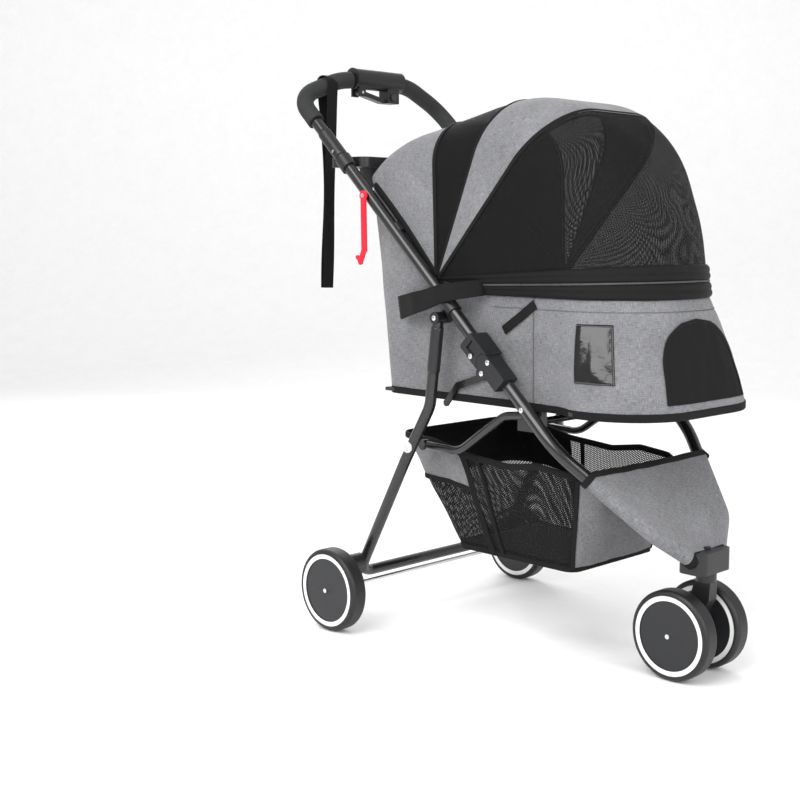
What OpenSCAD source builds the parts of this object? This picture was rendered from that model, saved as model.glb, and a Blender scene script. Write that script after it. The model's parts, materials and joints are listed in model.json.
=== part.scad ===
// Three-wheeled folding pet stroller: tube frame, cabin, canopy, basket and wheels.
// +X points forward, +Y to the left and +Z up. The origin lies on the floor
// under the middle of the stroller. All sizes are in millimetres.

/* [Frame] */
// Distance between the left and right handle tubes, centre to centre
tube_spacing = 370; // [340:1:440]
// Outer diameter of the frame tubes
tube_d = 22; // [18:0.5:24]
// Wall thickness of the frame tubes
tube_wall = 1.5; // [1:0.1:2.5]
// Slope of the handle tubes above the floor, in degrees
rake = 43; // [40:0.5:46]
// Fold hinge, forward of the rear axle
hinge_fwd = 320; // [310:1:345]
// Fold hinge, above the floor
hinge_up = 492; // [488:1:505]
// Fold hinge pin, below the tube axis
hinge_drop = 15; // [15:0.5:17]
// Fold hinge pin diameter
hinge_pin_d = 7; // [5:0.5:8]
// Rear axle, behind the middle of the stroller
rear_axle_back = 246.8; // [200:0.2:260]

/* [Handle] */
// Length of the handle from the fold hinge to its top corner
handle_len = 690; // [640:1:800]
// Rise of the crossbar's middle above the top corners
crossbar_rise = 48; // [30:1:60]
// Diameter of the foam grips
grip_d = 32; // [28:1:38]
// Straight length of foam below each top corner
grip_run = 70; // [50:1:100]
// Width of the fold release housing
release_w = 124; // [110:1:140]
// Diameter of each cup well
cup_d = 76; // [66:1:80]
// Depth of each cup well
cup_depth = 52; // [30:1:60]
// Width of the wrist strap
strap_w = 25; // [15:1:30]
// Hanging length of the wrist strap
strap_drop = 390; // [200:1:420]

/* [Wheels] */
// Wheel diameter
wheel_d = 150; // [130:1:180]
// Tyre width
tyre_w = 34; // [26:1:38]
// Diameter of the wheel body inside the tyre
wheel_body_d = 132; // [108:1:138]
// Axle diameter
axle_d = 8; // [6:0.5:10]
// Middle of each rear wheel, outside the handle tube's axis
wheel_out = 70; // [60:1:115]
// Caster stem, forward of the rear axle
stem_fwd = 635; // [625:1:660]
// Caster trail
trail = 29; // [20:1:32]
// Distance between the twin front wheels, centre to centre
twin_gap = 92; // [84:1:110]

/* [Rear legs] */
// Diameter of the rear leg tubes
leg_d = 20; // [16:0.5:22]
// Leg pivot, along the handle from the fold hinge
leg_pivot_s = 138; // [130:1:150]
// Link arm tube diameter
link_d = 14; // [10:0.5:16]

/* [Cabin] */
// Cabin length at its floor
cabin_len = 600; // [560:1:610]
// Cabin floor board, above the floor
cabin_z = 436; // [434:1:440]
// Height of the cabin's sides
cabin_h = 186; // [170:1:188]
// Fabric wall thickness
cloth = 4; // [3:0.5:5]
// Thickness of the floor pad
pad_h = 20; // [12:1:30]
// Canopy pivot, along the handle from the fold hinge
canopy_s = 203; // [200:1:225]
// Reach of the canopy's front from its pivot
canopy_front_r = 398; // [360:1:420]
// Reach of the canopy's hood from its pivot
canopy_rear_r = 265; // [250:1:275]
// Diameter of the canopy wires
wire_d = 5; // [3:0.5:6]

/* [Basket] */
// Basket depth from its rim to its floor
basket_h = 190; // [150:1:200]
// Gap from the basket's sides to the link arms
basket_gap = 8; // [5:1:20]

/* [Hidden] */

$fn = 48;
eps = 0.01;
fit = 0.1;              // radial gap of a pressed or riveted fit
running = 0.05;         // radial gap of a turning fit
collar_h = 0.12;        // height of the collar at a tube bend
collar_l = 2;           // length of the collar at a tube bend
gap = 0.6;              // gap between faces that pass each other
knuckle = 0.6;          // extra width at the ends and joints of a flat bar
tube_y = tube_spacing / 2;
track = tube_spacing + 2 * wheel_out;   // distance between the rear wheels
tube_r = tube_d / 2;
axle_x = -rear_axle_back;
axle_z = wheel_d / 2;
hinge_x = axle_x + hinge_fwd;
up_x = -cos(rake);
up_z = sin(rake);

// Point beside the handle: s up the tube from the fold hinge, n above the hinge,
// y to the left.
function at(s, n, y) = [hinge_x + s * up_x + n * up_z, y, hinge_up + s * up_z - n * up_x];
function unit(v) = v / norm(v);
function mix(a, b, t) = a + (b - a) * t;
// Point on the segment a-b where its y coordinate has the given value
function at_y(a, b, y) = mix(a, b, (y - a.y) / (b.y - a.y));

module left_and_right() {
    children();
    mirror([0, 1, 0]) children();
}

// Turns a shape so that its x runs up the handle, y above it and z to the left.
module on_handle() {
    multmatrix([[up_x, up_z, 0, hinge_x], [0, 0, 1, 0], [up_z, -up_x, 0, hinge_up], [0, 0, 0, 1]])
        children();
}

// Extrudes a side-view outline, drawn in x and z, from y0 to y1.
module side_plate(y0, y1) {
    translate([0, y1, 0]) rotate([90, 0, 0]) linear_extrude(y1 - y0) children();
}

module rod(a, b, d) {
    v = b - a;
    translate(a) rotate([0, acos(v.z / norm(v)), atan2(v.y, v.x)]) cylinder(h = norm(v), d = d);
}

// Ring section of a tube; an inner diameter of 0 makes it solid.
module section(d, inner) {
    difference() {
        circle(d = d);
        if (inner > 0) circle(d = inner);
    }
}

// Straight run of tube from a to b.
module run(a, b, d, inner) {
    v = b - a;
    translate(a) rotate([0, acos(v.z / norm(v)), atan2(v.y, v.x)])
        linear_extrude(norm(v)) section(d, inner);
}

// Bend of tube at corner p, between unit directions a and b.
module bend(p, a, b, radius, d, inner) {
    angle = acos(a * b);
    w = unit(cross(a, b));
    out = -cross(w, a);
    c = p - a * radius * tan(angle / 2) - out * radius;
    multmatrix([[out.x, a.x, w.x, c.x], [out.y, a.y, w.y, c.y], [out.z, a.z, w.z, c.z], [0, 0, 0, 1]])
        rotate_extrude(angle = angle, $fn = 96) translate([radius, 0]) section(d, inner);
}

// Tube along points p, with one bend radius for each inner point. A faint swaged
// collar joins each bend to its straight runs.
module bent_tube(p, radii, d, inner = 0) {
    n = len(p) - 1;
    dirs = [for (i = [0 : n - 1]) unit(p[i + 1] - p[i])];
    cut = [for (i = [0 : n]) i == 0 || i == n ? 0 : radii[i - 1] * tan(acos(dirs[i - 1] * dirs[i]) / 2)];
    shy = [for (i = [0 : n]) i == 0 || i == n ? 0 : collar_l / 4];
    for (i = [0 : n - 1])
        run(p[i] + dirs[i] * (cut[i] + shy[i]), p[i + 1] - dirs[i] * (cut[i + 1] + shy[i + 1]), d, inner);
    for (i = [1 : n - 1]) {
        bend(p[i], dirs[i - 1], dirs[i], radii[i - 1], d, inner);
        for (q = [[p[i] - dirs[i - 1] * cut[i], dirs[i - 1]], [p[i] + dirs[i] * cut[i], dirs[i]]])
            run(q[0] - q[1] * collar_l / 2, q[0] + q[1] * collar_l / 2,
                d + 2 * collar_h, inner > 0 ? inner - 2 * collar_h : 0);
    }
}

// Flat bar along points p, drawn in two dimensions; its round ends and joints are
// a little wider than its straight parts.
module bar(p, w) {
    for (i = [0 : len(p) - 2]) {
        v = p[i + 1] - p[i];
        translate(p[i]) rotate(atan2(v.y, v.x)) translate([0, -w / 2]) square([norm(v), w]);
    }
    for (q = p) translate(q) circle(d = w + knuckle);
}

module rounded(size, r) {
    translate([r, 0]) square([size.x - 2 * r, size.y]);
    translate([0, r]) square([size.x, size.y - 2 * r]);
    for (x = [r, size.x - r], y = [r, size.y - r]) translate([x, y]) circle(r);
}

// ---- front frame ----

latch_half = 20;                        // half width of a latch housing
latch_in = tube_y - latch_half;         // inner face of a latch housing
latch_out = tube_y + latch_half;        // outer face of a latch housing
tongue_t = 5.7;                         // hinge tongue of the upper latch
lug_r = 12;                             // round lug at the hinge pin
nose_s = 10;                            // centre of the lower latch's nose
nose_r = tube_r + 3.5;
latch_s0 = -42;                         // low end of the lower latch
latch_s1 = 66;                          // top end of the upper latch
front_top_s = 8;                        // top end of the front tube
handle_s0 = nose_s + nose_r + 1.5;      // low end of the handle tube
stem_x = axle_x + stem_fwd;
neck_s = -tube_y;                       // where the front tubes start to close in
head_z = wheel_d + 28;                  // underside of the head block
head_h = 36;
stem_d = 12;

neck = at(neck_s, hinge_drop, tube_y);
front_path = [
    at(front_top_s, hinge_drop, tube_y),
    neck,
    [mix(neck.x, stem_x, 0.78), 0.54 * tube_y, mix(neck.z, head_z + 18, 0.71)],
    [stem_x + 1, tube_r + 18, head_z + 18]
];
front_bends = [150, 70];

module front_tube() {
    color("black") bent_tube(front_path, front_bends, tube_d, tube_d - 2 * tube_wall);
}
module front_tube_left() front_tube();
module front_tube_right() mirror([0, 1, 0]) front_tube();

module head_block() {
    color("dimgray") difference() {
        translate([stem_x - 30, -(tube_r + 32), head_z]) linear_extrude(head_h)
            rounded([52, 2 * (tube_r + 32)], 14);
        translate([stem_x, 0, head_z - 1]) cylinder(h = head_h + 2, d = stem_d + 2 * running);
        left_and_right() bent_tube(front_path, front_bends, tube_d + 2 * fit);
    }
}

module lower_latch_outline(grow) {
    circle(lug_r + grow);
    translate([latch_s0, hinge_drop - nose_r - grow]) square([nose_s - latch_s0, 2 * (nose_r + grow)]);
    translate([nose_s, hinge_drop]) circle(nose_r + grow);
}

module lower_latch() {
    color("dimgray") difference() {
        on_handle() translate([0, 0, latch_in + tongue_t + gap])
            linear_extrude(latch_out - latch_in - tongue_t - gap) lower_latch_outline(0);
        rod(at(latch_s0 - 1, hinge_drop, tube_y), at(front_top_s + 0.2, hinge_drop, tube_y),
            tube_d + 2 * fit);
        rod(at(0, 0, 0), at(0, 0, latch_out + 1), hinge_pin_d + 2 * fit);
    }
}
module lower_latch_left() lower_latch();
module lower_latch_right() mirror([0, 1, 0]) lower_latch();

// Flat arm from the hinge pin down to the cabin board's rear.
arm_t = 3.4;
arm_w = 12;
arm_y = latch_in - gap - arm_t;
arm_knee = [hinge_x - 95, hinge_up - 32];
arm_foot = [hinge_x - 122, cabin_z - 8];
module support_arm() {
    color("black") difference() {
        side_plate(arm_y, arm_y + arm_t) union() {
            translate([hinge_x, hinge_up]) circle(d = 18);
            bar([[hinge_x, hinge_up], arm_knee, arm_foot], arm_w);
        }
        rod(at(0, 0, 0), at(0, 0, latch_out), hinge_pin_d + 2 * fit);
    }
}
module support_arm_left() support_arm();
module support_arm_right() mirror([0, 1, 0]) support_arm();

link_s = -96;                           // link arm pivot, along the front tube
link_pin = at(link_s, hinge_drop - 17, 0);
link_y = tube_y - tube_r - 1.5 - link_d / 2;
bracket_t = 5;
bracket_y = link_y - link_d / 2 - 1.5 - bracket_t;
link_pin_d = 6;

// Two ears and a cross rod under the cabin board.
module seat_bracket() {
    color("black") {
        left_and_right() difference() {
            side_plate(bracket_y, bracket_y + bracket_t) union() {
                translate([link_pin.x - 30, cabin_z - 40]) square([60, 40 - 0.5]);
                translate([link_pin.x, link_pin.z]) circle(9);
            }
            translate([link_pin.x, 0, link_pin.z]) rotate([-90, 0, 0])
                cylinder(h = tube_y, d = link_pin_d + 2 * fit);
        }
        translate([link_pin.x - 18, -bracket_y, cabin_z - 28]) rotate([-90, 0, 0])
            cylinder(h = 2 * bracket_y, d = 12);
    }
}

rivet_d = 9;
rivet_h = 2;
module rivet(s, n, y) {
    translate(at(s, n, y)) rotate([-90, 0, 0]) intersection() {
        cylinder(h = rivet_h, d = rivet_d);
        translate([0, 0, rivet_h - rivet_d]) sphere(rivet_d, $fn = 48);
    }
}

// Hinge pins, link pins and the rivets of the lower latches.
module frame_rivets() {
    color("silver") left_and_right() {
        rod(at(0, 0, arm_y - 0.7), at(0, 0, latch_out + 0.3), hinge_pin_d);
        rivet(0, 0, latch_out + 0.3);
        rivet(3, hinge_drop + 8, latch_out + eps);
        translate([link_pin.x, bracket_y, link_pin.z]) rotate([-90, 0, 0])
            cylinder(h = tube_y - tube_r - bracket_y - 0.3, d = link_pin_d);
        rivet(link_s, hinge_drop, tube_y + tube_r + eps);
    }
}

// ---- cabin ----

cabin_x0 = axle_x + 38;
cabin_x1 = cabin_x0 + cabin_len;
cabin_y = latch_in - 5;                 // half width beside the frame
cabin_front_y = tube_y;                 // half width ahead of the frame
widen_x = neck.x - 8;
canopy_pivot = at(canopy_s, hinge_drop, 0);
cabin_top = cabin_z + cabin_h;
hood_angle = 134;

rim_back = 51;                          // how far the nose leans back at the rim
nose_r0 = 120;                          // plan radius of the nose at the floor
nose_r1 = 148;                          // plan radius of the nose at the rim

// Plan of the cabin, drawn inset from its outer face; the front is a wide round end.
// It draws in from the floor (t = 0) to the rim (t = 1).
function cabin_plan(inset, t = 0) =
    let (
        r = mix(nose_r0, nose_r1, t),
        y0 = cabin_y - inset,
        y1 = mix(cabin_front_y, cabin_y, t) - inset,
        x1 = cabin_x1 - rim_back * t - inset,
        widen = min(mix(widen_x, cabin_x1 - rim_back - nose_r1 - 52, t), x1 - r - 38)
    ) concat(
        [[cabin_x0 + inset, -y0], [widen, -y0], [widen + 36, -y1]],
        [for (a = [-90 : 15 : 0]) [x1 - r + r * cos(a), -y1 + r + r * sin(a)]],
        [for (a = [0 : 15 : 90]) [x1 - r + r * cos(a), y1 - r + r * sin(a)]],
        [[widen + 36, y1], [widen, y0], [cabin_x0 + inset, y0]]
    );

// Body between the cabin's plans at three heights: floor, rim and above the rim.
module cabin_form(inset) {
    levels = [[cabin_z + board_t, 0], [cabin_top, 1], [cabin_top + 300, 1]];
    n = len(cabin_plan(0));
    polyhedron(
        points = [for (l = levels) for (p = cabin_plan(inset, l[1])) [p.x, p.y, l[0]]],
        faces = concat(
            [[for (i = [0 : n - 1]) i]],
            [for (k = [0, n], i = [0 : n - 1]) [k + i, k + n + i, k + (i + 1) % n]],
            [for (k = [0, n], i = [0 : n - 1]) [k + n + i, k + n + (i + 1) % n, k + (i + 1) % n]],
            [[for (i = [n - 1 : -1 : 0]) 2 * n + i]]
        ),
        convexity = 4
    );
}

board_t = 6;
module cabin_board() {
    color("dimgray") translate([0, 0, cabin_z]) linear_extrude(board_t) polygon(cabin_plan(0));
}

// Low point of the walls under the canopy pivot, in x and z
notch = [canopy_pivot.x - 6, canopy_pivot.z - 12];
module cabin_walls() {
    color("darkgray") intersection() {
        difference() {
            cabin_form(0);
            translate([0, 0, -0.5]) cabin_form(cloth);
        }
        side_plate(-tube_spacing, tube_spacing) polygon([
            [cabin_x0 - 1, cabin_z], [cabin_x1 + 1, cabin_z], [cabin_x1 + 1, cabin_top],
            [canopy_pivot.x + 8, cabin_top], notch,
            [cabin_x0 - 1, notch.y + (notch.x - cabin_x0) * tan(rake)]
        ]);
    }
}

// Wire hoop round the cabin's rim, ahead of the canopy pivot.
module rim_wire() {
    z = cabin_top + wire_d / 2 + 0.5;
    ear_out = cabin_y - cloth - 0.3;
    y = ear_out - 3;
    nose = cabin_x1 - rim_back - cloth - wire_d;
    x = canopy_pivot.x + 14;
    color("black") {
        bent_tube([[x, y, z], [nose, y, z], [nose, -y, z], [x, -y, z]],
                  [nose_r1 - cloth - wire_d, nose_r1 - cloth - wire_d], wire_d);
        left_and_right() difference() {
            side_plate(ear_out - 6, ear_out) bar([[x, z], [canopy_pivot.x, canopy_pivot.z]], 12);
            translate([canopy_pivot.x, 0, canopy_pivot.z]) rotate([-90, 0, 0])
                cylinder(h = tube_y, d = pivot_d + 2 * fit);
        }
        left_and_right() translate([canopy_pivot.x, ear_out - 6, canopy_pivot.z]) rotate([-90, 0, 0])
            cylinder(h = tube_y - tube_r - gap - ear_out + 6, d = pivot_d);
    }
}

module floor_pad() {
    color("gray") translate([0, 0, cabin_z + board_t + 0.2]) linear_extrude(pad_h)
        polygon(cabin_plan(cloth + 13));
}

// ---- canopy ----

pivot_d = 5;
hoop_angle = 4;
bow_angle = 48;
hood_top_angle = 92;
canopy_y = tube_y - tube_r - 2;         // half width of the canopy cloth
canopy_cloth = 2.5;
arch_front = 160;                       // corner radius of the arch at the hoop
arch_rear = 38;                         // corner radius of the arch at the hood's rear edge
swell = [30, 105];                      // the reach grows between these angles
eye_r = 6;

// Reach of the canopy from its pivot at angle a above the horizontal: the front's
// reach up to the first swell angle, the hood's past the second, a smooth change between.
function reach(a) = let (t = min(max((a - swell[0]) / (swell[1] - swell[0]), 0), 1))
    mix(canopy_rear_r, canopy_front_r, (1 + cos(180 * t)) / 2);

// Corner radius of the arch at angle a.
function corner_r(a) = mix(arch_front, arch_rear, (a - hoop_angle) / (hood_angle - hoop_angle));

// Arch across the stroller: points [reach, y] from the right side over the top.
function arch(r0, r, y, k) = concat(
    [[r0, -y]],
    [for (i = [0 : 6]) [r - k + k * sin(15 * i), -y + k - k * cos(15 * i)]],
    [for (i = [6 : -1 : 0]) [r - k + k * sin(15 * i), y - k + k * cos(15 * i)]],
    [[r0, y]]
);
function swung(a, q) = [canopy_pivot.x + q.x * cos(a), q.y, canopy_pivot.z + q.x * sin(a)];

// Curved cloth between two angles about the pivot, as one closed skin.
module canopy_cloth(a0, a1, steps) {
    rows = [for (j = [0 : steps]) let (a = mix(a0, a1, j / steps)) concat(
        [for (q = arch(24, reach(a), canopy_y, corner_r(a))) swung(a, q)],
        [for (q = arch(24, reach(a) - canopy_cloth, canopy_y - canopy_cloth,
            corner_r(a) - canopy_cloth)) swung(a, q)]
    )];
    m = len(arch(24, 300, 100, 50));
    w = 2 * m;
    side = function(j, i) j * w + i;
    polyhedron(
        points = [for (r = rows) for (p = r) p],
        faces = concat(
            [for (j = [0 : steps - 1]) for (i = [0 : m - 2]) [side(j, i), side(j, i + 1), side(j + 1, i + 1), side(j + 1, i)]],
            [for (j = [0 : steps - 1]) for (i = [m : w - 2]) [side(j + 1, i), side(j + 1, i + 1), side(j, i + 1), side(j, i)]],
            [for (j = [0 : steps - 1]) [side(j + 1, 0), side(j + 1, m), side(j, m), side(j, 0)]],
            [for (j = [0 : steps - 1]) [side(j, m - 1), side(j, w - 1), side(j + 1, w - 1), side(j + 1, m - 1)]],
            [for (i = [0 : m - 2]) [side(0, i + 1), side(0, i), side(0, m + i), side(0, m + i + 1)]],
            [for (i = [0 : m - 2]) [side(steps, i), side(steps, i + 1), side(steps, m + i + 1), side(steps, m + i)]]
        ),
        convexity = 6
    );
}

module rear_hood() color("darkgray") canopy_cloth(hood_top_angle + 3, hood_angle, 4);
module canopy_band() color("gray") canopy_cloth(bow_angle + 1, hood_top_angle + 1, 6);
module canopy_dome() color("black") canopy_cloth(hoop_angle + 3.5, bow_angle - 1, 8);

// Wire bow at angle a, with a flat eye on each canopy pivot pin.
module wire_bow(a, eye_y, eye_t) {
    inset = canopy_cloth + wire_d / 2 + 4;
    y = eye_y + eye_t / 2;
    top = reach(a) - inset;
    bend_r = corner_r(a) - inset;
    color("black") {
        bent_tube([swung(a, [eye_r, -y]), swung(a, [top, -y]), swung(a, [top, y]), swung(a, [eye_r, y])],
                  [bend_r, bend_r], wire_d);
        left_and_right() difference() {
            translate([canopy_pivot.x, eye_y, canopy_pivot.z]) rotate([-90, 0, 0]) cylinder(h = eye_t, r = eye_r + 2);
            translate([canopy_pivot.x, eye_y - 1, canopy_pivot.z]) rotate([-90, 0, 0])
                cylinder(h = eye_t + 2, d = pivot_d + 2 * running);
        }
    }
}
eye_t = 3;
hoop_eye_y = cabin_y - 3 + gap;
bow_eye_y = hoop_eye_y + eye_t + gap + 1.6;
module canopy_hoop() wire_bow(hoop_angle, hoop_eye_y, eye_t);
module canopy_bow() wire_bow(bow_angle, bow_eye_y, eye_t);

// ---- basket and shield ----

basket_top_y = bracket_y - basket_gap;
basket_floor_y = basket_top_y - 28;
basket_top_z = 352;
basket_floor_z = basket_top_z - basket_h;
basket_x = [axle_x + 62, axle_x + 486];
basket_floor_x = [axle_x + 170, axle_x + 450];

module basket_body(inset, floor_z, top_z) {
    hull() {
        translate([basket_floor_x[0] + inset, -basket_floor_y + inset, floor_z])
            cube([basket_floor_x[1] - basket_floor_x[0] - 2 * inset, 2 * (basket_floor_y - inset), 1]);
        translate([basket_x[0] + inset, -basket_top_y + inset, top_z - 1])
            cube([basket_x[1] - basket_x[0] - 2 * inset, 2 * (basket_top_y - inset), 1]);
    }
}

module basket() {
    color("gray") difference() {
        basket_body(0, basket_floor_z, basket_top_z);
        basket_body(cloth, basket_floor_z + cloth, basket_top_z + 1);
    }
}

module basket_board() {
    color("black") translate([basket_floor_x[0] + 14, -basket_floor_y + 14, basket_floor_z + cloth + 0.3])
        cube([basket_floor_x[1] - basket_floor_x[0] - 28, 2 * basket_floor_y - 28, 4]);
}

// Cloth shield stretched over the front tubes, above the caster.
module front_shield() {
    top = front_path[2] + (front_path[1] - front_path[2]) * 0.62;
    low = mix(front_path[3], front_path[2], 0.5);
    lift = unit([low.z - top.z, 0, top.x - low.x]) * -(tube_r + 3);
    dir = unit([low.x - top.x, 0, low.z - top.z]);
    color("darkgray") multmatrix([
        [dir.x, 0, -dir.z, top.x + lift.x], [0, 1, 0, 0], [dir.z, 0, dir.x, top.z + lift.z], [0, 0, 0, 1]
    ]) linear_extrude(3) polygon([
        [0, -top.y], [norm([low.x - top.x, low.z - top.z]), -low.y - tube_r],
        [norm([low.x - top.x, low.z - top.z]), low.y + tube_r], [0, top.y]
    ]);
}

// ---- handle ----

corner = at(handle_len, hinge_drop, tube_y);
knee = [corner.x + 8, 0.51 * tube_y, corner.z + 0.79 * crossbar_rise];
middle = [corner.x + 13, 0, corner.z + crossbar_rise];
bar_end_y = 12;
handle_path = [at(handle_s0, hinge_drop, tube_y), corner, knee, at_y(knee, middle, bar_end_y)];
handle_bends = [48, 140];

module handle_tube() {
    color("black") bent_tube(handle_path, handle_bends, tube_d, tube_d - 2 * tube_wall);
}
module handle_tube_left() handle_tube();
module handle_tube_right() mirror([0, 1, 0]) handle_tube();

module grip() {
    path = [at(handle_len - grip_run, hinge_drop, tube_y), corner, knee,
            at_y(knee, middle, release_w / 2 + 3)];
    color("dimgray") bent_tube(path, handle_bends, grip_d, tube_d + 2 * fit + 4 * collar_h);
}
module grip_left() grip();
module grip_right() mirror([0, 1, 0]) grip();

lever_pin = [middle.x, -46, middle.z - 29.5];
lever_end = [middle.x, 12, middle.z - 42];
lever_h = 9;
lever_w = 16;
lever_pin_d = 5;
button_y = 34;
button_z = middle.z - 34;
button_d = 14;
housing_r = 20;

// Housing that joins the two handle tubes; it carries the lever and the button.
module release_housing() {
    color("dimgray") difference() {
        union() {
            translate([middle.x, -release_w / 2, middle.z - 3]) rotate([-90, 0, 0])
                cylinder(h = release_w, r = housing_r);
            translate([middle.x - 13, 20, middle.z - 46]) cube([26, 30, 46]);
            for (s = [-1, 1]) translate([middle.x + s * (lever_w / 2 + 2.6) - 2, lever_pin.y - 8, lever_pin.z - 8])
                cube([4, 16, 28]);
        }
        left_and_right() bent_tube(handle_path, handle_bends, tube_d + 2 * fit);
        translate([middle.x - 30, lever_pin.y, lever_pin.z]) rotate([0, 90, 0])
            cylinder(h = 60, d = lever_pin_d + 2 * fit);
        translate([middle.x + 4, button_y, button_z]) rotate([0, 90, 0])
            cylinder(h = 20, d = button_d + 2 * running);
    }
}

module release_lever() {
    color("black") difference() {
        translate([middle.x - lever_w / 2, 0, 0]) rotate([90, 0, 90]) linear_extrude(lever_w)
            bar([[lever_pin.y, lever_pin.z], [lever_end.y, lever_end.z]], lever_h);
        translate([middle.x - 30, lever_pin.y, lever_pin.z]) rotate([0, 90, 0])
            cylinder(h = 60, d = lever_pin_d + 2 * running);
    }
}

module safety_button() {
    color("red") translate([middle.x + 8.5, button_y, button_z]) rotate([0, 90, 0])
        cylinder(h = 8, d = button_d);
}

module upper_latch() {
    color("dimgray") difference() {
        union() {
            on_handle() translate([0, 0, latch_in]) linear_extrude(latch_out - latch_in) difference() {
                translate([nose_s + 0.5, hinge_drop - nose_r - 4])
                    rounded([latch_s1 - nose_s - 0.5, 2 * nose_r + 5], 5);
                lower_latch_outline(0.8);
            }
            on_handle() translate([0, 0, latch_in]) linear_extrude(tongue_t) union() {
                circle(lug_r - 1);
                translate([0, -lug_r + 1]) square([nose_s + 24, 2 * lug_r]);
            }
        }
        rod(at(handle_s0 - 2, hinge_drop, tube_y), at(latch_s1 + 1, hinge_drop, tube_y), tube_d + 2 * fit);
        rod(at(0, 0, latch_in - 1), at(0, 0, latch_out + 1), hinge_pin_d + 2 * running);
        on_handle() translate([latch_s1 - 34, hinge_drop - 9, latch_out - 3]) cube([22, 18, 4]);
    }
}
module upper_latch_left() upper_latch();
module upper_latch_right() mirror([0, 1, 0]) upper_latch();

latch_pin_d = 12;
module latch_pin() {
    color("silver") rod(at(handle_s0 + 1, hinge_drop, tube_y), at(latch_s1 - 6, hinge_drop, tube_y), latch_pin_d);
}
module latch_pin_left() latch_pin();
module latch_pin_right() mirror([0, 1, 0]) latch_pin();

tray_s = 505;                           // the tray's clamps, along the handle
tray_at = at(tray_s, hinge_drop, 0);
tray_y = tube_y - tube_r - 1.5;
tray_len = cup_d + 22;
tray_x = tray_at.x - tray_len / 2 - 14;
tray_top = tray_at.z + 12;
tray_rim = 18;
well_y = 0.5 * tray_y;
well_wall = 2.5;
module cup_tray() {
    x = tray_x + tray_len / 2;
    color("dimgray") difference() {
        union() {
            translate([tray_x, -tray_y, tray_top - tray_rim]) linear_extrude(tray_rim)
                rounded([tray_len, 2 * tray_y], 16);
            left_and_right() translate([x, well_y, tray_top - cup_depth - well_wall])
                cylinder(h = cup_depth, d = cup_d + 2 * well_wall);
        }
        translate([tray_x + 3, -tray_y + 3, tray_top - 6]) linear_extrude(7)
            rounded([tray_len - 6, 2 * tray_y - 6], 14);
        left_and_right() translate([x, well_y, tray_top - cup_depth]) cylinder(h = cup_depth + 1, d = cup_d);
    }
}

// Split rings that hold the tray's ends to the handle tubes.
clamp_w = 26;
module tray_clamps() {
    color("black") left_and_right() difference() {
        rod(at(tray_s - clamp_w / 2, hinge_drop, tube_y), at(tray_s + clamp_w / 2, hinge_drop, tube_y), tube_d + 8);
        rod(at(tray_s - clamp_w, hinge_drop, tube_y), at(tray_s + clamp_w, hinge_drop, tube_y), tube_d + 2 * fit);
        translate([tray_x - 50, -tray_y - 0.1, tray_top - 120]) cube([tray_len + 100, 2 * tray_y + 0.2, 240]);
    }
}

strap_t = 2;
module wrist_strap() {
    y = 0.65 * tube_y;
    p = at_y(corner, knee, y);
    color("black") translate([p.x - strap_t / 2, -y - strap_w / 2, p.z - strap_drop])
        cube([strap_t, strap_w, strap_drop - grip_d / 2 - 8]);
}

leg_pin_n = -10;
leg_pivot = at(leg_pivot_s, leg_pin_n, 0);
leg_y = tube_y + tube_r + 2;
leg_pin_d = 8;
leg_eye = leg_d + 1;                    // width and diameter of the leg's top eye
lug_out = leg_y - leg_eye / 2 - gap;
module leg_bracket() {
    color("dimgray") difference() {
        union() {
            rod(at(leg_pivot_s - 12, hinge_drop, tube_y), at(leg_pivot_s + 12, hinge_drop, tube_y), tube_d + 6);
            on_handle() translate([leg_pivot_s, 0, tube_y - 12]) linear_extrude(lug_out - tube_y + 12) union() {
                translate([0, leg_pin_n]) circle(10);
                translate([-10, leg_pin_n]) square([20, hinge_drop - leg_pin_n]);
            }
        }
        rod(at(leg_pivot_s - 20, hinge_drop, tube_y), at(leg_pivot_s + 20, hinge_drop, tube_y), tube_d + 2 * fit);
        rod(at(leg_pivot_s, leg_pin_n, 0), at(leg_pivot_s, leg_pin_n, leg_y + 30), leg_pin_d + 2 * fit);
    }
}
module leg_bracket_left() leg_bracket();
module leg_bracket_right() mirror([0, 1, 0]) leg_bracket();

hook_s = 418;
hook_pin_d = 4;
hook_y = -tube_y - tube_r - 4.5;
hook_pivot = at(hook_s, hinge_drop, 0);
hook_len = 118;

// Lever pin, leg pivot pins, hook rivet and the rivets of the upper latches.
module handle_rivets() {
    color("silver") {
        translate([middle.x - lever_w / 2 - 5.5, lever_pin.y, lever_pin.z]) rotate([0, 90, 0])
            cylinder(h = lever_w + 11, d = lever_pin_d);
        left_and_right() {
            rod(at(leg_pivot_s, leg_pin_n, tube_y - 12), at(leg_pivot_s, leg_pin_n, leg_y + leg_d / 2 + 0.8), leg_pin_d);
            rivet(leg_pivot_s, leg_pin_n, leg_y + leg_d / 2 + 0.8);
            rivet(nose_s + 27, hinge_drop - nose_r + 2, latch_out + eps);
            rivet(tray_s + 32, hinge_drop, tube_y + tube_r + eps);
        }
        translate([hook_pivot.x, hook_y - 2, hook_pivot.z]) rotate([-90, 0, 0])
            cylinder(h = 6.3, d = hook_pin_d);
        translate([hook_pivot.x, hook_y - 3.4, hook_pivot.z]) rotate([-90, 0, 0]) cylinder(h = 1.4, d = 8);
    }
}

// Flat hook that holds the folded frame shut.
module fold_hook() {
    p = [hook_pivot.x, hook_pivot.z];
    color("red") difference() {
        side_plate(hook_y - 1.5, hook_y + 1.5) union() {
            translate(p) circle(9);
            bar([p, p + [2, -hook_len + 22]], 13);
            bar([p + [2, -hook_len + 22], p + [-8, -hook_len]], 11);
            bar([p + [-8, -hook_len], p + [-16, -hook_len + 8]], 7);
        }
        translate([hook_pivot.x, hook_y - 5, hook_pivot.z]) rotate([-90, 0, 0])
            cylinder(h = 10, d = hook_pin_d + 2 * running);
    }
}

// ---- rear frame ----

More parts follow.
